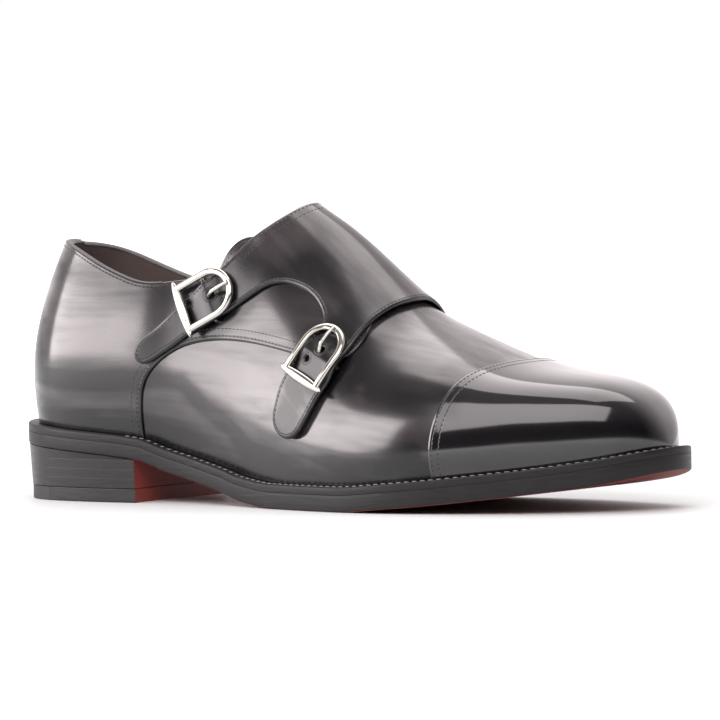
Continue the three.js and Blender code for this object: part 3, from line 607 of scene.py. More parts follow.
def noise(tree, place, scale, detail=2.0, roughness=0.5):
    """Noise with its own scale along each way of the place."""
    moved = add(tree, "ShaderNodeMapping", {"Vector": place, "Scale": scale})
    return add(tree, "ShaderNodeTexNoise", {"Vector": moved.outputs[0], "Scale": 1.0,
                                            "Detail": detail, "Roughness": roughness}).outputs[0]


def new_group(name, inputs, outputs):
    group = bpy.data.node_groups.new(name, "ShaderNodeTree")
    for label, (kind, value) in inputs.items():
        socket = group.interface.new_socket(label, in_out="INPUT", socket_type=kind)
        if value is not None:
            socket.default_value = value
    for label, kind in outputs.items():
        group.interface.new_socket(label, in_out="OUTPUT", socket_type=kind)
    return (group, group.nodes.new("NodeGroupInput").outputs,
            group.nodes.new("NodeGroupOutput").inputs)


FLOAT, VECTOR = "NodeSocketFloat", "NodeSocketVector"

brushed, bi, bo = new_group(
    "brush_streaks",
    {"Vector": (VECTOR, None), "Tilt": (FLOAT, 0.0)},
    {"Cloud": FLOAT, "Streak": FLOAT})
turned = add(brushed, "ShaderNodeVectorRotate", {"Vector": bi["Vector"], "Angle": bi["Tilt"]},
             rotation_type="Y_AXIS").outputs[0]
feed(brushed, bo["Cloud"], noise(brushed, turned, (18, 26, 30), 3.0, 0.55))
feed(brushed, bo["Streak"], noise(brushed, turned, (15, 150, 230), 4.0, 0.6))

burnish, ui, uo = new_group(
    "burnished_edge",
    {"Edge": (FLOAT, 10.0), "Reach": (FLOAT, 2.4), "Row": (FLOAT, 1.7),
     "Second row": (FLOAT, -5.0)},
    {"Mask": FLOAT, "Height": FLOAT})
CHANNEL_SHARPNESS = 2.6
mask = maths(burnish, "DIVIDE", ui["Edge"], ui["Reach"])
feed(burnish, uo["Mask"], maths(burnish, "SUBTRACT", 1.0, mask, clamp=True))
channels = []
for label in ("Row", "Second row"):
    away = maths(burnish, "SUBTRACT", ui["Edge"], ui[label])
    away = maths(burnish, "MULTIPLY", away, CHANNEL_SHARPNESS)
    away = maths(burnish, "MULTIPLY", away, away)
    channels.append(maths(burnish, "SUBTRACT", 1.0, away, clamp=True))
pressed = maths(burnish, "ADD", *channels)
feed(burnish, uo["Height"], maths(burnish, "MULTIPLY", pressed, -1.0))

grain, gi, go = new_group(
    "leather_grain",
    {"Vector": (VECTOR, None), "Scale": (FLOAT, 1500.0)},
    {"Height": FLOAT})
scaled = {"Vector": gi["Vector"], "Scale": gi["Scale"]}
pores = add(grain, "ShaderNodeTexVoronoi", scaled)
soft = add(grain, "ShaderNodeTexNoise", {**scaled, "Detail": 2.0})
feed(grain, go["Height"], maths(grain, "ADD", pores.outputs["Distance"], soft.outputs[0]))
print("groups:", [g.name for g in bpy.data.node_groups])

# %% Leather finishes


def start_material(name, slot_colour):
    material = bpy.data.materials.new(name)
    material.use_nodes = True
    material.diffuse_color = (*slot_colour[:3], 1)
    tree = material.node_tree
    shader = next(n for n in tree.nodes if n.type == "BSDF_PRINCIPLED")
    coordinates = tree.nodes.new("ShaderNodeTexCoord").outputs["Object"]
    return material, tree, shader, coordinates


def use_group(tree, group, inputs):
    item = add(tree, "ShaderNodeGroup", node_tree=group)
    for label, value in inputs.items():
        feed(tree, item.inputs[label], value)
    return item.outputs


NO_ROW = -5.0
BURNISH_COLOUR, BURNISH_STRENGTH = (0.006, 0.006, 0.007, 1), 0.75


ROUGH_RANGE, COAT_FLOOR, COAT_RISE = (0.11, 0.24), 0.2, 1.7
CHANNEL_DEPTH, GRAIN_DEPTH = 0.0003, 0.0001


def leather(name, dark, light, roughness=ROUGH_RANGE, tilt=0.0, rows=(1.7, NO_ROW), coat=0.62,
            coat_roughness=0.13, specular=0.5, grain_depth=0.03, tone_weight=0.6, cloud=1.3,
            streak=1.2):
    material, tree, shader, here = start_material(name, light)
    streaks = use_group(tree, brushed, {"Vector": here, "Tilt": tilt})
    tone = add(tree, "ShaderNodeAttribute", attribute_name="tone").outputs["Fac"]
    edge = add(tree, "ShaderNodeAttribute", attribute_name="edge").outputs["Fac"]
    worn = use_group(tree, burnish, {"Edge": edge, "Row": rows[0], "Second row": rows[1]})
    value = maths(tree, "MULTIPLY_ADD", streaks["Cloud"], cloud, 0.5 - cloud / 2)
    value = maths(tree, "MULTIPLY_ADD", streaks["Streak"], streak, value)
    value = maths(tree, "MULTIPLY_ADD", tone, tone_weight * 2, value)
    value = maths(tree, "SUBTRACT", value, streak / 2 + tone_weight, clamp=True)
    colour = mixed_colour(tree, value, (*dark, 1), (*light, 1))
    burnished = maths(tree, "MULTIPLY", worn["Mask"], BURNISH_STRENGTH)
    feed(tree, shader.inputs["Base Color"],
         mixed_colour(tree, burnished, colour, BURNISH_COLOUR))
    feed(tree, shader.inputs["Roughness"],
         maths(tree, "MULTIPLY_ADD", value, roughness[0] - roughness[1], roughness[1]))
    fine = use_group(tree, grain, {"Vector": here})
    relief = add(tree, "ShaderNodeBump", {"Height": worn["Height"], "Distance": CHANNEL_DEPTH,
                                          "Strength": 0.4})
    relief = add(tree, "ShaderNodeBump", {"Height": fine["Height"], "Distance": GRAIN_DEPTH,
                                          "Strength": grain_depth * 4, "Normal": relief.outputs[0]})
    feed(tree, shader.inputs["Normal"], relief.outputs[0])
    feed(tree, shader.inputs["Coat Weight"],
         maths(tree, "MULTIPLY_ADD", value, coat * COAT_RISE, coat * COAT_FLOOR, clamp=True))
    shader.inputs["Coat Roughness"].default_value = coat_roughness
    shader.inputs["Specular IOR Level"].default_value = specular
    return material


GREY_DARK, GREY_LIGHT = (0.002, 0.002, 0.0025), (0.034, 0.029, 0.03)
vamp_leather = leather("patina_vamp", GREY_DARK, GREY_LIGHT, tilt=-0.12, rows=(NO_ROW, NO_ROW))
quarter_leather = leather("patina_quarter", GREY_DARK, GREY_LIGHT)
saddle_leather = leather("patina_saddle", GREY_DARK, GREY_LIGHT, tilt=-0.7, rows=(1.6, NO_ROW))
cap_leather = leather("polished_cap", (0.001, 0.001, 0.0015), (0.009, 0.008, 0.009),
                      roughness=(0.08, 0.12), rows=(1.5, 4.3), coat=1.0, coat_roughness=0.09,
                      specular=0.55, grain_depth=0.0, tone_weight=0.3, cloud=0.4, streak=0.3)
lining_leather = leather("lining_brown", (0.19, 0.135, 0.12), (0.36, 0.27, 0.24),
                         roughness=(0.5, 0.6), coat=0.0, grain_depth=0.1,
                         rows=(NO_ROW, NO_ROW), cloud=0.5, streak=0.4)
print("leathers ready")


def simple(name, colour_a, colour_b, roughness, metal=0.0, scale=(300, 300, 300), bump=0.0,
           coat=0.0, specular=0.5):
    material, tree, shader, here = start_material(name, colour_b)
    value = noise(tree, here, scale, 4.0)
    feed(tree, shader.inputs["Base Color"],
         mixed_colour(tree, value, (*colour_a, 1), (*colour_b, 1)))
    feed(tree, shader.inputs["Roughness"],
         maths(tree, "MULTIPLY_ADD", value, roughness[1] - roughness[0], roughness[0]))
    if bump:
        relief = add(tree, "ShaderNodeBump", {"Height": value, "Distance": 0.0002,
                                              "Strength": bump})
        feed(tree, shader.inputs["Normal"], relief.outputs[0])
    shader.inputs["Metallic"].default_value = metal
    shader.inputs["Coat Weight"].default_value = coat
    shader.inputs["Specular IOR Level"].default_value = specular
    return material


binding_leather = simple("binding_leather", (0.012, 0.011, 0.012), (0.05, 0.045, 0.047),
                         (0.3, 0.45))
thread_dark = simple("stitch_thread", (0.008, 0.008, 0.009), (0.025, 0.023, 0.025), (0.5, 0.7))
thread_light = simple("welt_thread", (0.10, 0.095, 0.095), (0.2, 0.19, 0.19), (0.45, 0.6))
edge_finish = simple("edge_dressing", (0.003, 0.003, 0.003), (0.016, 0.015, 0.0155), (0.28, 0.5),
                     scale=(90, 90, 700), bump=0.45, coat=0.15, specular=0.3)
stain = simple("red_stain", (0.13, 0.012, 0.007), (0.24, 0.024, 0.014), (0.5, 0.7),
               scale=(60, 260, 200), bump=0.2)
rubber = simple("heel_rubber", (0.012, 0.012, 0.013), (0.03, 0.03, 0.032), (0.55, 0.7), bump=0.2)
sole_edge_finish = simple("sole_edge_dressing", (0.0015, 0.0015, 0.0015), (0.009, 0.0085, 0.0085),
                          (0.34, 0.6), scale=(90, 90, 700), bump=0.6, coat=0.05, specular=0.3)
nickel = simple("nickel_polish", (0.50, 0.48, 0.44), (0.62, 0.60, 0.55), (0.1, 0.18), metal=1.0,
                scale=(500, 500, 500))

# %% [markdown]
# ## Vamp and lining
# The vamp is the front of the shoe under the saddle; it runs back below the quarters. The
# lining is its own thinner skin inside, brown and matt. Both are sheets over the whole last,
# cut open along the collar and the throat.

# %% Vamp, lining and toe cap
OPENING_LIFT, LINING_OUTER, VAMP_INNER = 1.0, 0.8, 0.9
CAP_SHARES, CAP_RIDGE, CAP_SWEEP, CAP_SPAN = (0.66, 1), 238, 12, 45


def paint_and_slot(piece, material, slot_name, *nodes):
    piece.data.materials.append(material)
    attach(piece, "root")
    if nodes:
        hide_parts(*nodes)
    return piece


spots, faces = flat_sheet(250, 160)
skin = split(spots, faces, -side_field(spots, OPENING_LIFT, OPENING_LATERAL, OPENING_MEDIAL),
             "above")
skin = roll_edge(with_edge_distance(skin, constant(UPPER_WALL)), (0.4, 1.0))
# The vamp's tone is its patina with painted light: the painted reflection band, painted highlights
# and the painted shade by the welt.
paint_and_slot(thick_sheet("vamp", skin, constant(VAMP_INNER), constant(UPPER_WALL), roll=0.8,
                           painted=patina_and_painted_light), vamp_leather, "patina_leather", "upper")
paint_and_slot(thick_sheet("lining", skin, constant(0.0), constant(LINING_OUTER), roll=None),
               lining_leather, "lining_leather")

spots, faces = flat_sheet(110, 150, shares=CAP_SHARES)
place = over_last(spots[:, SHARE], spots[:, TURN], OVERLAY_OUTER)
past_seam = place[:, 0] - CAP_RIDGE + CAP_SWEEP * (place[:, 1] / CAP_SPAN) ** 2
cap_sheet = split(spots, faces, past_seam, "above")
cap_sheet = roll_edge(with_edge_distance(cap_sheet, constant(OVERLAY_OUTER)))
paint_and_slot(thick_sheet("toe_cap_polished", cap_sheet, constant(OVERLAY_INNER),
                           constant(OVERLAY_OUTER), painted=patina_and_painted_light),
               cap_leather, "polished_leather", "toe_cap")

# %% [markdown]
# ## Quarters and saddle
# The lateral quarter closes the back half of the shoe on the outside. The medial quarter runs
# on over the instep as the saddle, which ends in the two straps. The straps rise over the
# centre bar of their buckles, so the sheet is lifted there by a soft hump.

# %% Buckle places
FASTENINGS = {
    "upper": {"crossbar": (95.5, 77), "round_end": (117.5, 89)},
    "lower": {"crossbar": (161, 51.7), "round_end": (172.5, 70.5)},
}
RAIL_LIFT = 0.9
RAIL_BASE = SADDLE_INNER + SADDLE_THICKNESS + RAIL_LIFT
RAIL, RAIL_DEPTH = 2.9, 2.4
FRAME_HALF, ROUND_CENTRE = 10.6, -3
CROSSBAR_AT, CROSSBAR_HALF, CROSSBAR_WIDTH = 11.5, 12.6, 4.2
PIN_RADIUS, PRONG_RADIUS = 0.8, 0.9
PIN_HEIGHT = OVERLAY_OUTER + 0.1 + PIN_RADIUS
STRAP_BULGE, BULGE_REACH, STRAP_HALF, STRAP_BESIDE = 1.7, 5.0, 10, 16


def seat_at(x, z, lift):
    """Share and turn on the lateral side for a place in the side view, found step by step."""
    share, turn, step = x / SOLE_LENGTH, -0.6, 1e-3
    for _ in range(14):
        p = over_last(share, turn, lift)
        ps = (over_last(share + step, turn, lift) - p) / step
        pt = (over_last(share, turn + step, lift) - p) / step
        det = ps[0] * pt[2] - pt[0] * ps[2]
        ex, ez = x - p[0], z - p[2]
        share += float(np.clip((ex * pt[2] - ez * pt[0]) / det, -0.05, 0.05))
        turn += float(np.clip((ez * ps[0] - ex * ps[2]) / det, -0.15, 0.15))
        turn = min(max(turn, -0.98), -0.02)
    return share, turn


def unit(vector):
    return vector / np.linalg.norm(vector)


class BuckleFrame:
    """Middle of a buckle on the strap, with its ways along the strap, across it and out."""

    def __init__(self, crossbar, round_end):
        middle = [(a + b) / 2 for a, b in zip(crossbar, round_end)]
        seat = seat_at(*middle, RAIL_BASE)
        self.centre = over_last(*seat, 0.0)
        self.out = last_normal(*seat)
        tip = over_last(*seat_at(*crossbar, RAIL_BASE), 0.0)
        root = over_last(*seat_at(*round_end, RAIL_BASE), 0.0)
        way = tip - root
        self.along = unit(way - self.out * (way @ self.out))
        self.across = np.cross(self.out, self.along)
        sink = [-(p - self.centre) @ self.out for p in (tip, root)]
        reach = [((p - self.centre) @ self.along) ** 2 for p in (tip, root)]
        self.bend = sum(sink) / sum(reach)

    def place(self, local):
        a, b, h = np.asarray(local, float).T
        h = h - self.bend * (a * a + 0.4 * b * b)
        ways = ((a, self.along), (b, self.across), (h, self.out))
        return self.centre + sum(np.outer(size, way) for size, way in ways)

    def local(self, points):
        away = points - self.centre
        return away @ self.along, away @ self.across


frames = {name: BuckleFrame(**places) for name, places in FASTENINGS.items()}


def saddle_weight(share, turn):
    """How far the saddle stands over the quarter: fully on the lateral side and the instep."""
    return ease(-turn, -0.25, 0.05) * ease(share, 0.12, 0.22) * (1 - ease(share, 0.8, 0.95))


def strap_hump(share, turn):
    points = over_last(share, turn, 0.0 * share)
    hump = np.zeros(len(share))
    for buckle in frames.values():
        a, b = buckle.local(points)
        beside = 1 - ease(np.abs(b), STRAP_HALF, STRAP_BESIDE)
        hump += STRAP_BULGE * np.exp(-((a / BULGE_REACH) ** 2)) * beside * (turn < 0)
    return hump


def saddle_inner(share, turn):
    weight = saddle_weight(share, turn)
    return OVERLAY_INNER + (SADDLE_INNER - OVERLAY_INNER) * weight + strap_hump(share, turn)


def saddle_outer(share, turn):
    weight = saddle_weight(share, turn)
    top = SADDLE_INNER + SADDLE_THICKNESS
    return OVERLAY_OUTER + (top - OVERLAY_OUTER) * weight + strap_hump(share, turn)


# %% Quarter, saddle with both straps
quarter_outline = joined([(-20, FLOOR), (75, FLOOR)], QUARTER_SEAM, [(172, SKY), (-20, SKY)])
spots, faces = flat_sheet(230, 110, shares=(0, 0.72), turns=(-1, 0))
field = np.minimum(side_field(spots, OVERLAY_OUTER, quarter_outline, None),
                   -side_field(spots, OPENING_LIFT, OPENING_LATERAL, None))
quarter_sheet = split(spots, faces, field, "above")
quarter_sheet = roll_edge(with_edge_distance(quarter_sheet, constant(OVERLAY_OUTER)))
# The quarter's tone adds the painted shadow under the upper strap.
paint_and_slot(thick_sheet("quarter_patina", quarter_sheet, constant(OVERLAY_INNER),
                           constant(OVERLAY_OUTER),
                           painted=lambda p: patina_and_painted_light(p, STRAP_SHADOW_STROKES)),
               quarter_leather, "patina_leather", "quarter_lateral")

saddle_medial = joined([(-20, FLOOR), (75, FLOOR)], QUARTER_SEAM_MEDIAL, SADDLE_FRONT_MEDIAL,
                       [(190.5, SKY), (146, SKY), (146, 128)], SADDLE_TOP_MEDIAL[::-1],
                       COLLAR_MEDIAL[::-1], [COLLAR_BACK])
FREE_HOLES = {"upper": (97.6, 80.6), "lower": (161.9, 59.6)}
HOLE_RADIUS, PRONG_HOLE_RADIUS, HOLE_LINE_STEP, HOLE_LINES = 0.95, 1.35, 0.45, 4
FREE_HOLE_LIFT, PRONG_HOLE_LIFT, PRONG_FOOT = 6.0, 5.0, -2.4
MM_PER_SHARE, MM_PER_TURN = 300.0, 110.0
spots, faces = flat_sheet(300, 230, shares=(0, 0.74))
holes = []
for name, place in FREE_HOLES.items():
    holes.append((seat_at(*place, FREE_HOLE_LIFT), HOLE_RADIUS))
    foot = frames[name].place([(PRONG_FOOT, 0, 0)])[0] + PRONG_HOLE_LIFT * frames[name].out
    holes.append((seat_at(foot[0], foot[2], PRONG_HOLE_LIFT), PRONG_HOLE_RADIUS))
for seat, _ in holes:
    for k in range(-HOLE_LINES, HOLE_LINES + 1):
        for axis, size in ((SHARE, MM_PER_SHARE), (TURN, MM_PER_TURN)):
            spots, faces = split(spots, faces,
                                 (spots[:, axis] - seat[axis]) * size - k * HOLE_LINE_STEP)
outer_lift = saddle_outer(spots[:, SHARE], spots[:, TURN])
field = side_field(spots, outer_lift, SADDLE_OUTLINE, saddle_medial)
over = over_last(spots[:, SHARE], spots[:, TURN], outer_lift)
hole_middles = []
for seat, radius in holes:
    share, turn = np.array(seat)[:, None]
    hole_middles.append(over_last(share, turn, saddle_outer(share, turn))[0])
    field = np.minimum(field, np.linalg.norm(over - hole_middles[-1], axis=1) - radius)
saddle_sheet = split(spots, faces, field, "above")
saddle_sheet = roll_edge(with_edge_distance(saddle_sheet, saddle_outer))
paint_and_slot(thick_sheet("saddle_patina", saddle_sheet, saddle_inner, saddle_outer, roll=1.2,
                           painted=lambda p: patina_and_painted_light(p, STRAP_STROKES)),
               saddle_leather, "patina_leather", "saddle")

# %% [markdown]
# ## Tongue
# The tongue is a thin loose leaf below the saddle. Only its rounded back corner shows, where it
# stands out of the throat. It could be a bent plane, but as one more sheet on the last it keeps
# an even gap to the saddle above it.

# %% Tongue
TONGUE_INNER, TONGUE_OUTER, TONGUE_HALF_WIDTH = -2.0, -0.3, 25
tongue_side = joined(rounded([(106, 93), (112, 104.5), (116.5, 107), (123, 107.5), (131, 111),
                              (140, 119)]), [(192, 127), (192, 60), (130, 75)])
spots, faces = flat_sheet(120, 120, shares=(0.3, 0.68), turns=(-0.75, 0.75))
place = over_last(spots[:, SHARE], spots[:, TURN], TONGUE_OUTER)
field = np.minimum(inside_outline(place[:, [0, 2]], tongue_side),
                   TONGUE_HALF_WIDTH - np.abs(place[:, 1]))
tongue_sheet = split(spots, faces, field, "above")
tongue_sheet = roll_edge(with_edge_distance(tongue_sheet, constant(TONGUE_OUTER)))
paint_and_slot(thick_sheet("tongue_leather", tongue_sheet, constant(TONGUE_INNER),
                           constant(TONGUE_OUTER), roll=0.9),
               saddle_leather, "patina_leather", "tongue")

# %% [markdown]
# ## Binding and back strip
# The layers of the collar end in a narrow rolled binding, and a short strip guards the seam at
# the heel's back. The binding is an oval section carried along the collar's rim.

# %% Collar binding


def edge_row(sheet, distance, lift, keep):
    """Line at a distance from the cut edge: its places and normals, one run at a time."""
    spots, faces = sheet
    spots, inner = split(spots, faces, spots[:, EDGE] - distance, "above")
    rim = rim_edges(inner)
    on_line = (np.abs(spots[rim, EDGE] - distance) < 0.02).all(1)
    runs = []
    for run in chains(rim[on_line]):
        share, turn = spots[run, SHARE], spots[run, TURN]
        points = over_last(share, turn, lift(share, turn))
        good = keep(points, share, turn)
        for part in np.split(np.arange(len(run)), np.where(~good)[0]):
            part = part[good[part]]
            if len(part) > 3:
                runs.append((points[part], last_normal(share[part], turn[part])))
    return runs


def lengths_along(points):
    return np.concatenate([[0], np.cumsum(np.linalg.norm(np.diff(points, axis=0), axis=1))])


def picked(rows, place, wanted):
    return np.stack([np.interp(wanted, place, rows[:, k]) for k in range(rows.shape[1])], 1)


WAY_REACH = 0.3


def resampled(points, others, pitch):
    """Places, ways and other rows at an even pitch along a line."""
    place = lengths_along(points)
    count = int(place[-1] / pitch)
    wanted = (np.arange(count) + 0.5) * place[-1] / max(count, 1)
    way = picked(points, place, wanted + WAY_REACH) - picked(points, place, wanted - WAY_REACH)
    return picked(points, place, wanted), way, picked(others, place, wanted)


def tube(rings, caps=(True, True), loop=False):
    """Points and faces of closed sections that are joined one to the next."""
    rings = np.asarray(rings)
    stations, size = rings.shape[:2]
    index = np.arange(stations * size).reshape(stations, size)
    a, b = (index, np.roll(index, -1, axis=0)) if loop else (index[:-1], index[1:])
    c, d = np.roll(a, -1, axis=1), np.roll(b, -1, axis=1)
    faces = np.stack([a, b, d, c], -1).reshape(-1, 4).tolist()
    faces += [index[0].tolist()] * caps[0] + [index[-1][::-1].tolist()] * caps[1]
    return rings.reshape(-1, 3), faces


def bead(points, normals, width, height, steps=10):
    """Oval section along a line, its width across the layers."""
    angle = np.linspace(0, 2 * math.pi, steps, endpoint=False)
    rings = []
    way = np.gradient(points, axis=0)
    for p, forward, normal in zip(points, way, normals):
        forward, normal = unit(forward), unit(normal)
        beside = unit(np.cross(forward, normal))
        rings.append(p + np.outer(np.cos(angle) * width / 2, normal)
                     + np.outer(np.sin(angle) * height / 2, beside))
    return tube(rings)


COLLAR_EDGE, COLLAR_MIDDLE, COLLAR_PITCH, COLLAR_FRONT = 0.15, 1.55, 1.5, 84
BINDING_WIDTH, BINDING_HEIGHT = 3.5, 1.3
runs = edge_row(skin, COLLAR_EDGE, constant(COLLAR_MIDDLE),
                lambda p, s, t: (p[:, 0] < COLLAR_FRONT) & (s < 0.5))
collar_line = []
for medial_side, order in ((False, -1), (True, 1)):
    side_runs = [np.hstack(run) for run in runs if (run[0][:, 1].mean() >= 0) == medial_side]
    side_run = np.concatenate(side_runs)
    collar_line.append(side_run[np.argsort(order * side_run[:, 0])])
collar_line = np.concatenate(collar_line)
places, _, normals = resampled(collar_line[:, :3], collar_line[:, 3:], COLLAR_PITCH)
for _ in range(3):
    for rows in (places, normals):
        rows[1:-1] = (rows[:-2] + 2 * rows[1:-1] + rows[2:]) / 4


def closed_piece(name, points, faces, smooth=40):
    piece = make_piece(name, points, faces, smooth=smooth)
    bpy.ops.object.mode_set(mode="EDIT")
    bpy.ops.mesh.select_all(action="SELECT")
    bpy.ops.mesh.remove_doubles(threshold=1e-6)
    bpy.ops.mesh.normals_make_consistent(inside=False)
    bpy.ops.object.mode_set(mode="OBJECT")
    return piece


paint_and_slot(closed_piece("collar_binding",
                            *bead(places, normals, BINDING_WIDTH, BINDING_HEIGHT), smooth=80),
               binding_leather, "patina_leather")

# %% Back strip
STRIP_INNER, STRIP_CUT, STRIP_RIM, STRIP_OUTER = 3.2, 3.4, 3.9, 4.0
STRIP_HALF_WIDTH, STRIP_BOTTOM, STRIP_BELOW_COLLAR = 6.2, 84, 0.8
spots, faces = flat_sheet(40, 120, shares=(0, 0.09))
over = over_last(spots[:, SHARE], spots[:, TURN], STRIP_CUT)
field = np.minimum(STRIP_HALF_WIDTH - np.abs(over[:, 1]), over[:, 2] - STRIP_BOTTOM)
closed_back = -side_field(spots, OPENING_LIFT, OPENING_LATERAL, OPENING_MEDIAL)
field = np.minimum(field, closed_back - STRIP_BELOW_COLLAR)
strip_sheet = with_edge_distance(split(spots, faces, field, "above"), constant(STRIP_RIM))
strip_sheet = roll_edge(strip_sheet)
paint_and_slot(thick_sheet("back_strip", strip_sheet, constant(STRIP_INNER),
                           constant(STRIP_OUTER), roll=0.7), quarter_leather, "patina_leather")

# %% [markdown]
# ## Stitches
# Rows of small tight stitches follow the edges. One low stitch is modelled from a sphere, then
# copied along each row, turned to the row's way and pressed a little into the leather.

# %% Rows of stitches
bpy.ops.object.select_all(action="DESELECT")
bpy.ops.mesh.primitive_uv_sphere_add(segments=8, ring_count=4, radius=0.5)
bpy.ops.object.mode_set(mode="EDIT")
bpy.ops.mesh.select_all(action="SELECT")
bpy.ops.mesh.quads_convert_to_tris()
bpy.ops.object.mode_set(mode="OBJECT")
pattern = bpy.context.object
stitch_spots = np.array([v.co for v in pattern.data.vertices])[:, [2, 0, 1]]
stitch_faces = np.array([p.vertices for p in pattern.data.polygons])
bpy.data.objects.remove(pattern)


STITCH_SINK = 0.04


def stitched(name, runs, material, pitch=1.9, length=1.45, width=0.5, height=0.36):
    every, faces, count = [], [], 0
    for points, normals in runs:
        for p, way, normal in zip(*resampled(points, normals, pitch)):
            normal = unit(normal)
            way = unit(way - normal * (way @ normal))
            beside = np.cross(normal, way)
            size = stitch_spots * (length, width, height)
            every.append(p + np.outer(size[:, 0], way) + np.outer(size[:, 1], beside)
                         + np.outer(size[:, 2] - STITCH_SINK, normal))
            faces.append(stitch_faces + count)
            count += len(stitch_spots)
    piece = make_piece(name, np.concatenate(every), np.concatenate(faces), smooth=80)
    return paint_and_slot(piece, material, "patina_leather")


def above_feather(points, share, turn):
    return (np.abs(turn) < 0.985) & (share < 0.97)


def along_seam(points, share, turn):
    return above_feather(points, share, turn) & (points[:, 0] > 60) & (points[:, 2] < 72)


def along_saddle_top(points, share, turn):
    return (turn < 0) & (points[:, 0] > 108) & (points[:, 0] < 160) & (points[:, 2] > 98)


def saddle_front_or_strap(points, share, turn):
    clear = above_feather(points, share, turn) & (points[:, 0] > 12)
    for middle in hole_middles:
        clear &= np.linalg.norm(points - middle, axis=1) > HOLE_SURROUND
    return clear


HOLE_SURROUND = 4.2
overlay = constant(OVERLAY_OUTER)
STITCH_ROWS = (
    (quarter_sheet, 1.7, overlay, above_feather),
    (quarter_sheet, 4.6, overlay, along_seam),
    (cap_sheet, 1.5, overlay, above_feather),
    (cap_sheet, 4.3, overlay, above_feather),
    (saddle_sheet, 1.6, saddle_outer, saddle_front_or_strap),
    (saddle_sheet, 4.8, saddle_outer, along_saddle_top),
    (strip_sheet, 1.2, constant(STRIP_OUTER), lambda p, s, t: p[:, 2] < 101),
    (tongue_sheet, 2.2, constant(TONGUE_OUTER), lambda p, s, t: p[:, 0] < 135),
)
stitched("stitch_rows", [run for row in STITCH_ROWS for run in edge_row(*row)], thread_dark)

# %% [markdown]
# ## Sole
# The welt is the narrow strip that shows all round above the outsole. Both follow the last's
# feather edge at a margin. Each is a band of cross sections carried round that outline.

# %% Outline of the sole and bands round it
OUTLINE_STEPS = 260
LEDGE_FROM, LEDGE_TO = 60, 120


def margin_ledge(x):
    return HEEL_LEDGE + (FOREPART_LEDGE - HEEL_LEDGE) * ease(x, LEDGE_FROM, LEDGE_TO)


def sole_margin(x):
    return OVERLAY_OUTER + margin_ledge(x)


def shifted(curve, by):
    return lambda x: curve(x) + by


def level(value):
    return lambda x: value + 0 * x


def feather_line(share, side, margin, height):
    """The last's lower edge, moved out by a margin and brought to a height along X."""
    out = last_normal(share, side) * margin(last_x(share))[..., None]
    point = last_point(share, side) + out
    point[:, 2] = height(point[:, 0])
    return point


def sole_plate(levels, reach=1.0, steps=OUTLINE_STEPS):
    """Closed plate across the sole from levels, top one first: margin and height along X."""
    share = np.linspace(0, reach, int(steps * reach) + 1)
    medial_side, lateral_side = ([feather_line(share, np.full_like(share, side), *pair)
                                  for pair in levels] for side in (1.0, -1.0))
    return tube(np.stack(medial_side + lateral_side[::-1], 1), (False, reach < 1))


def rounded_levels(margin, top, bottom, top_corner, bottom_corner, steps=4):
    """Levels of an edge that is rounded at the top and the bottom."""
    turns = [math.pi / 2 * i / steps for i in range(steps + 1)]
    levels = [(shifted(margin, -top_corner * (1 - math.sin(t))),
               shifted(top, -top_corner * (1 - math.cos(t)))) for t in turns]
    return levels + [(shifted(margin, -bottom_corner * (1 - math.cos(t))),
                      shifted(bottom, bottom_corner * (1 - math.sin(t)))) for t in turns]


def stain_faces(piece, chosen):
    piece.data.materials.append(stain)
    for face in piece.data.polygons:
        face.material_index = int(chosen(face))


LAYER_GAP = 0.03
STAINED_FROM = (HEEL_LENGTH - 3 - MIDDLE[0]) * 0.001
outsole_piece = closed_piece("outsole_edge", *sole_plate(rounded_levels(
    sole_margin, shifted(outsole_top, -LAYER_GAP), sole_underside, 0.12, 0.8)))
paint_and_slot(outsole_piece, sole_edge_finish, "stained_sole", "outsole")
stain_faces(outsole_piece, lambda face: face.normal.z < -0.8 and face.center.x > STAINED_FROM)


def swept_outline(profile):
    """Closed ring round the whole outline; profile gives margin and height at X."""
    share = np.linspace(0, 1, OUTLINE_STEPS + 1)
    share = np.concatenate([share, share[::-1][1:-1]])
    side = np.concatenate([np.ones(OUTLINE_STEPS + 1), -np.ones(OUTLINE_STEPS - 1)])
    rings = np.stack([feather_line(share, side, *pair) for pair in profile], 1)
    return tube(rings, (False, False), loop=True)


WELT_INSIDE = level(-3.5)
welt_profile = [(WELT_INSIDE, outsole_top), (WELT_INSIDE, shifted(welt_top, -0.1))]
welt_profile += rounded_levels(sole_margin, welt_top, shifted(outsole_top, LAYER_GAP), 0.7, 0.12)
paint_and_slot(closed_piece("welt_strip", *swept_outline(welt_profile)), sole_edge_finish,
               "black_edge", "welt")

# %% Welt stitches
WELT_ROW_PLACE, WELT_ROW_FROM, WELT_ROW_LIFT = 0.45, 66, 0.1


def welt_row_margin(x):
    return OVERLAY_OUTER + WELT_ROW_PLACE * margin_ledge(x)


share = np.linspace(0, 1, 400)
runs = []
for side in (-1.0, 1.0):
    line = feather_line(share, np.full_like(share, side), welt_row_margin,
                        shifted(welt_top, WELT_ROW_LIFT))
    line = line[line[:, 0] > WELT_ROW_FROM]
    runs.append((line, np.tile([0.0, 0, 1], (len(line), 1))))
stitched("welt_stitches", runs, thread_light, pitch=3.4, length=2.5, width=0.8, height=0.6)

# %% [markdown]
# ## Heel
# The heel is a stack of leather lifts with a top piece that is leather in front and rubber at
# the back. A box with rounded corners would be quick, but the stack has to follow the sole's
# own outline and taper a little, so it is a plate of levels like the sole. The breast, its
# front face, is cut slightly hollow with a boolean.

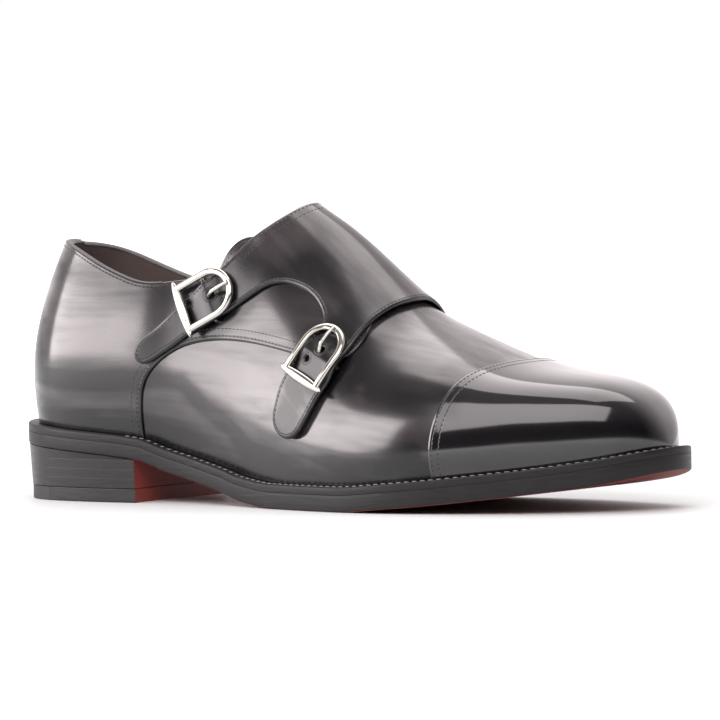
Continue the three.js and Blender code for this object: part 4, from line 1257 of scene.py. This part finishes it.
# %% Heel
HEEL_TAPER, HEEL_REACH, HEEL_STEPS, HEEL_INSET = 1.4, 0.31, 700, 0.3
BREAST_HOLLOW, BACK_OF_ALL = 2.5, -20
CUTTER_WIDTH, CUTTER_BOTTOM, CUTTER_HEIGHT = 80, -10, 0.08
SEAM_DEPTH, SEAM_HALF, SEAM_TAPER = 0.05, 0.12, 0.2


def heel_margin(z):
    return shifted(sole_margin, -HEEL_INSET - HEEL_TAPER * (1 - z / SEAT_HEIGHT))


def breast_cut(piece, start, end, hollow):
    """Keeps the part of a piece between two places along X, with a hollow front."""
    bpy.ops.object.select_all(action="DESELECT")
    bpy.ops.mesh.primitive_grid_add(x_subdivisions=1, y_subdivisions=24, size=1)
    cutter = bpy.context.object
    for v in cutter.data.vertices:
        y = v.co.y * CUTTER_WIDTH
        front = end - hollow * (1 - (y * 2 / CUTTER_WIDTH) ** 2)
        v.co = (start if v.co.x < 0 else front, y, CUTTER_BOTTOM)
        v.co = (Vector(v.co) - Vector(MIDDLE)) * 0.001
    bpy.ops.object.mode_set(mode="EDIT")
    bpy.ops.mesh.select_all(action="SELECT")
    bpy.ops.mesh.extrude_region_move(TRANSFORM_OT_translate={"value": (0, 0, CUTTER_HEIGHT)})
    bpy.ops.mesh.select_all(action="SELECT")
    bpy.ops.mesh.normals_make_consistent(inside=False)
    bpy.ops.object.mode_set(mode="OBJECT")
    cut = piece.modifiers.new("breast", "BOOLEAN")
    cut.operation, cut.solver, cut.object = "INTERSECT", "EXACT", cutter
    bpy.ops.object.select_all(action="DESELECT")
    piece.select_set(True)
    bpy.context.view_layer.objects.active = piece
    bpy.ops.object.modifier_apply(modifier="breast")
    bpy.data.objects.remove(cutter)
    bpy.ops.object.shade_smooth_by_angle(angle=math.radians(11))


def below_sole(z, gap):
    return lambda x: np.minimum(sole_underside(x) - gap, z)


def is_breast(face):
    return face.normal.x > 0.8 and abs(face.normal.z) < 0.3


lift_edges = np.linspace(TOP_PIECE_THICKNESS + 0.25, SEAT_HEIGHT * 0.74, 4)
levels = [(heel_margin(SEAT_HEIGHT), shifted(sole_underside, -0.15))]
for z in lift_edges[:0:-1]:
    levels.append((heel_margin(z + SEAM_TAPER), below_sole(z + SEAM_HALF, 0.2)))
    levels.append((shifted(heel_margin(z), -SEAM_DEPTH), below_sole(z, 0.3)))
    levels.append((heel_margin(z - SEAM_TAPER), below_sole(z - SEAM_HALF, 0.4)))
levels.append((heel_margin(lift_edges[0]), level(lift_edges[0])))
heel_piece = closed_piece("heel_lifts", *sole_plate(levels, HEEL_REACH, HEEL_STEPS))
breast_cut(heel_piece, BACK_OF_ALL, HEEL_LENGTH, BREAST_HOLLOW)
paint_and_slot(heel_piece, edge_finish, "black_edge", "heel_stack")
stain_faces(heel_piece, is_breast)

levels = rounded_levels(heel_margin(2.5), level(TOP_PIECE_THICKNESS), level(0), 0.25, 0.5, 2)
for name, start, end, hollow, finish, slot_name, node in (
        ("top_piece_rubber_corner", BACK_OF_ALL, RUBBER_LENGTH, 0, rubber, "heel_rubber",
         "top_piece_rubber"),
        ("top_piece_leather_front", RUBBER_LENGTH + 0.15, HEEL_LENGTH, BREAST_HOLLOW, edge_finish,
         "black_edge", "top_piece_leather")):
    piece = closed_piece(name, *sole_plate(levels, HEEL_REACH, HEEL_STEPS))
    breast_cut(piece, start, end, hollow)
    paint_and_slot(piece, finish, slot_name, node)
    if hollow:
        stain_faces(piece, is_breast)

# %% [markdown]
# ## Insole
# The foot stands on a sock of thin brown leather, glued over the insole. It is seen only through
# the collar, so one plain closed plate is enough.

# %% Insole with its sock
levels = [(level(-1.2), shifted(last_base, 3)), (level(-0.5), last_base)]
paint_and_slot(closed_piece("sock_and_insole", *sole_plate(levels)), lining_leather,
               "lining_leather", "insole")

# %% [markdown]
# ## Buckles
# A nickel buckle is a bent rail shaped like a D, with a straight lens shaped bar at the strap's
# tip side, a hidden centre bar and a prong. Rail and prong are swept along a route; the bar is
# a spindle flattened to a lens.

# %% Sweeping a section along a route


def swept(route, section_at, up=(0, 0, 1)):
    """Rings of section_at(i) across a route in the buckle's own sizes."""
    route = np.asarray(route, float)
    rings = []
    for i, way in enumerate(np.gradient(route, axis=0)):
        forward = unit(way)
        side = unit(np.cross(forward, up))
        section = section_at(i)
        rings.append(route[i] + np.outer(section[:, 0], side)
                     + np.outer(section[:, 1], np.cross(side, forward)))
    return tube(rings)


def oval(width, height, steps=14, power=2.6):
    """Section between an ellipse (power 2) and a rectangle (a high power)."""
    angle = np.linspace(0, 2 * math.pi, steps, endpoint=False)
    c, s = np.cos(angle), np.sin(angle)
    return np.stack([np.sign(c) * np.abs(c) ** (2 / power) * width / 2,
                     np.sign(s) * np.abs(s) ** (2 / power) * height / 2], 1)


def evenly(points, count):
    points = np.asarray(points, float)
    place = lengths_along(points)
    return picked(points, place, np.linspace(0, place[-1], count))


def combined(parts):
    points, faces, count = [], [], 0
    for part_points, part_faces in parts:
        points.append(part_points)
        faces += [[i + count for i in face] for face in part_faces]
        count += len(part_points)
    return np.concatenate(points), faces


# %% Both buckles
RAIL_MIDDLE, RAIL_TOP = RAIL_BASE + RAIL_DEPTH / 2, RAIL_BASE + RAIL_DEPTH
RAIL_HALF = FRAME_HALF - RAIL / 2
ARC = [(ROUND_CENTRE + RAIL_HALF * math.cos(t), RAIL_HALF * math.sin(t), RAIL_MIDDLE)
       for t in np.linspace(math.pi / 2, 1.5 * math.pi, 24)]
RAIL_ROUTE = [(CROSSBAR_AT, RAIL_HALF, RAIL_MIDDLE), *ARC, (CROSSBAR_AT, -RAIL_HALF, RAIL_MIDDLE)]
PRONG_ROUTE = [(0, 0, PIN_HEIGHT), (-1.6, 0, PIN_HEIGHT + 2.6), (-4.4, 0, RAIL_TOP + 0.2),
               (-9, 0, RAIL_TOP + 0.7), (ROUND_CENTRE - FRAME_HALF + 0.8, 0, RAIL_TOP + 0.72)]
RAIL_RINGS, PRONG_RINGS = 60, 22
BAR_SPREAD = np.linspace(-1, 1, 31)
BAR_SIZE = [math.sqrt(max(1 - abs(s) ** 8, 0.02)) * (1 - 0.5 * s * s) for s in BAR_SPREAD]
LUG_HEIGHTS = np.linspace(PIN_HEIGHT - 0.6, RAIL_BASE + 0.6, 5)


def bar_section(i):
    return oval(CROSSBAR_WIDTH * BAR_SIZE[i], RAIL_DEPTH * (0.43 + 0.52 * BAR_SIZE[i]), power=2.1)


def prong_section(i):
    slimmer = i / (PRONG_RINGS - 1)
    return oval(2 * PRONG_RADIUS - 0.3 * slimmer, 1.5 - 0.2 * slimmer, 12, 2)


parts = [
    swept(evenly(RAIL_ROUTE, RAIL_RINGS), lambda i: oval(RAIL, RAIL_DEPTH)),
    swept([(CROSSBAR_AT, CROSSBAR_HALF * s, RAIL_MIDDLE + 0.1) for s in BAR_SPREAD], bar_section),
    swept([(0, b, PIN_HEIGHT) for b in np.linspace(-FRAME_HALF, FRAME_HALF, 9)],
          lambda i: oval(2 * PIN_RADIUS, 2 * PIN_RADIUS, 12, 2)),
    swept(evenly(PRONG_ROUTE, PRONG_RINGS), prong_section),
]
for side in (-1, 1):
    parts.append(swept([(0, side * (FRAME_HALF - 1.1), h) for h in LUG_HEIGHTS],
                       lambda i: oval(2.0, 1.5), up=(1, 0, 0)))
points, faces = combined(parts)
for name, buckle in frames.items():
    piece = closed_piece(f"buckle_{name}_nickel", buckle.place(points), faces, smooth=60)
    paint_and_slot(piece, nickel, "nickel", f"buckle_{name}")

# %% [markdown]
# ## Floor, light and camera
# The shoe stands on a plain pale table. A broad box of light hangs overhead, one stands on the
# left, and one hangs above the camera, brightest in its middle, so it is made of nested boxes.
# The studio at the height of the camera is dark, and its back wall is pale. The dark front gives
# polished leather its dark band between the light from above and the light from the table.

# %% Floor
FLOOR_SIZE, GLOW_FROM, GLOW_TO = 14, 0.15, 1.2
FLOOR_DARK, FLOOR_LIGHT = (0.57, 0.605, 0.6, 1), (0.59, 0.625, 0.62, 1)
bpy.context.scene.view_settings.view_transform = "Standard"
bpy.ops.mesh.primitive_grid_add(x_subdivisions=8, y_subdivisions=8, size=FLOOR_SIZE,
                                location=(0, 0, 0))
floor = bpy.context.object
floor.name = "floor"


def ranged(tree, value, low_high, to):
    return add(tree, "ShaderNodeMapRange", {
        "Value": value, "From Min": low_high[0], "From Max": low_high[1],
        "To Min": to[0], "To Max": to[1]}).outputs[0]


floor_finish, tree, shader, here = start_material("pale_floor", (0.9, 0.9, 0.9))
speckle = add(tree, "ShaderNodeTexNoise", {"Vector": here, "Scale": 3.0})
feed(tree, shader.inputs["Base Color"],
     mixed_colour(tree, speckle.outputs[0], FLOOR_DARK, FLOOR_LIGHT))
shader.inputs["Roughness"].default_value = 0.5
shader.inputs["Specular IOR Level"].default_value = 0.2
away = add(tree, "ShaderNodeVectorMath", {0: here}, operation="LENGTH")
shader.inputs["Emission Color"].default_value = (1, 1, 1, 1)
feed(tree, shader.inputs["Emission Strength"],
     ranged(tree, away.outputs["Value"], (GLOW_FROM, GLOW_TO), (0.0, 1.0)))
floor.data.materials.append(floor_finish)

# %% Lights
WARM_WHITE = (1.0, 0.925, 0.935)
OVER_CAMERA, OVER_CAMERA_AIM = (0.62, -1.36, 1.16), (0, 0, 0.05)
NESTED_BOXES = ((2.5, 1.2, 28), (1.9, 0.9, 16), (1.3, 0.62, 11), (0.8, 0.4, 6))


def soft_box(name, place, target, size, power):
    light = bpy.data.lights.new(name, "AREA")
    light.shape, light.size, light.size_y = "RECTANGLE", *size
    light.energy, light.color = power, WARM_WHITE
    lamp = bpy.data.objects.new(name, light)
    lamp.location = place
    lamp.rotation_euler = (Vector(target) - Vector(place)).to_track_quat("-Z", "Y").to_euler()
    bpy.context.scene.collection.objects.link(lamp)


soft_box("box_overhead", (-0.2, 0.32, 1.45), (-0.2, 0.32, 0), (2.0, 1.25), 19)
soft_box("box_left", (-1.37, -1.15, 0.56), (0, 0, 0.2), (1.6, 1.0), 30)
for width, height, power in NESTED_BOXES:
    soft_box(f"box_over_camera_{width}", OVER_CAMERA, OVER_CAMERA_AIM, (width, height), power)

# %% Studio walls as the world's light
BACK_WALL_TURN = 0.5
world = bpy.data.worlds.new("studio")
bpy.context.scene.world = world
world.use_nodes = True
tree = world.node_tree
tree.nodes.clear()
path = tree.nodes.new("ShaderNodeLightPath").outputs["Is Camera Ray"]
direction = tree.nodes.new("ShaderNodeTexCoord").outputs["Generated"]
way_x, way_y, way_z = add(tree, "ShaderNodeSeparateXYZ", {0: direction}).outputs
facing = maths(tree, "SUBTRACT", way_y, maths(tree, "MULTIPLY", way_x, BACK_WALL_TURN))
behind = ranged(tree, facing, (-0.5, 0.7), (0.03, 1.25))
lifted = ranged(tree, way_z, (0.15, 0.9), (0.0, 0.35))
strength = maths(tree, "MAXIMUM", behind, lifted)
strength = maths(tree, "MULTIPLY_ADD", strength, maths(tree, "SUBTRACT", 1.0, path), path)
tint = mixed_colour(tree, path, (*WARM_WHITE, 1), (1, 1, 1, 1))
background = add(tree, "ShaderNodeBackground", {"Color": tint, "Strength": strength})
add(tree, "ShaderNodeOutputWorld", {"Surface": background.outputs[0]})
print("studio lit")

# %% [markdown]
# ## Camera and sizes
# The photograph was taken from far away with a long lens, a little above the floor and from the
# lateral front. A long lens keeps the shoe's proportions, and the small roll is the photo's own.

# %% Camera
AZIMUTH, ELEVATION, ROLL = (math.radians(angle) for angle in (34.4, 2.6, -0.96))
DISTANCE, FOCAL_LENGTH, SHIFT = 2.3, 287.3, (0.0187, 0.0417)
aim = Vector((-0.0003, 0.001845, 0.045))
back = Vector((math.sin(AZIMUTH) * math.cos(ELEVATION), -math.cos(AZIMUTH) * math.cos(ELEVATION),
               math.sin(ELEVATION)))
lens = bpy.data.cameras.new("camera")
lens.sensor_width, lens.lens = 36, FOCAL_LENGTH
lens.shift_x, lens.shift_y = SHIFT
camera = bpy.data.objects.new("camera", lens)
camera.location = aim + back * DISTANCE
turn_to = (-back).to_track_quat("-Z", "Y").to_matrix().to_4x4()
camera.rotation_euler = (turn_to @ Matrix.Rotation(ROLL, 4, "Z")).to_euler()
bpy.context.scene.collection.objects.link(camera)
bpy.context.scene.camera = camera
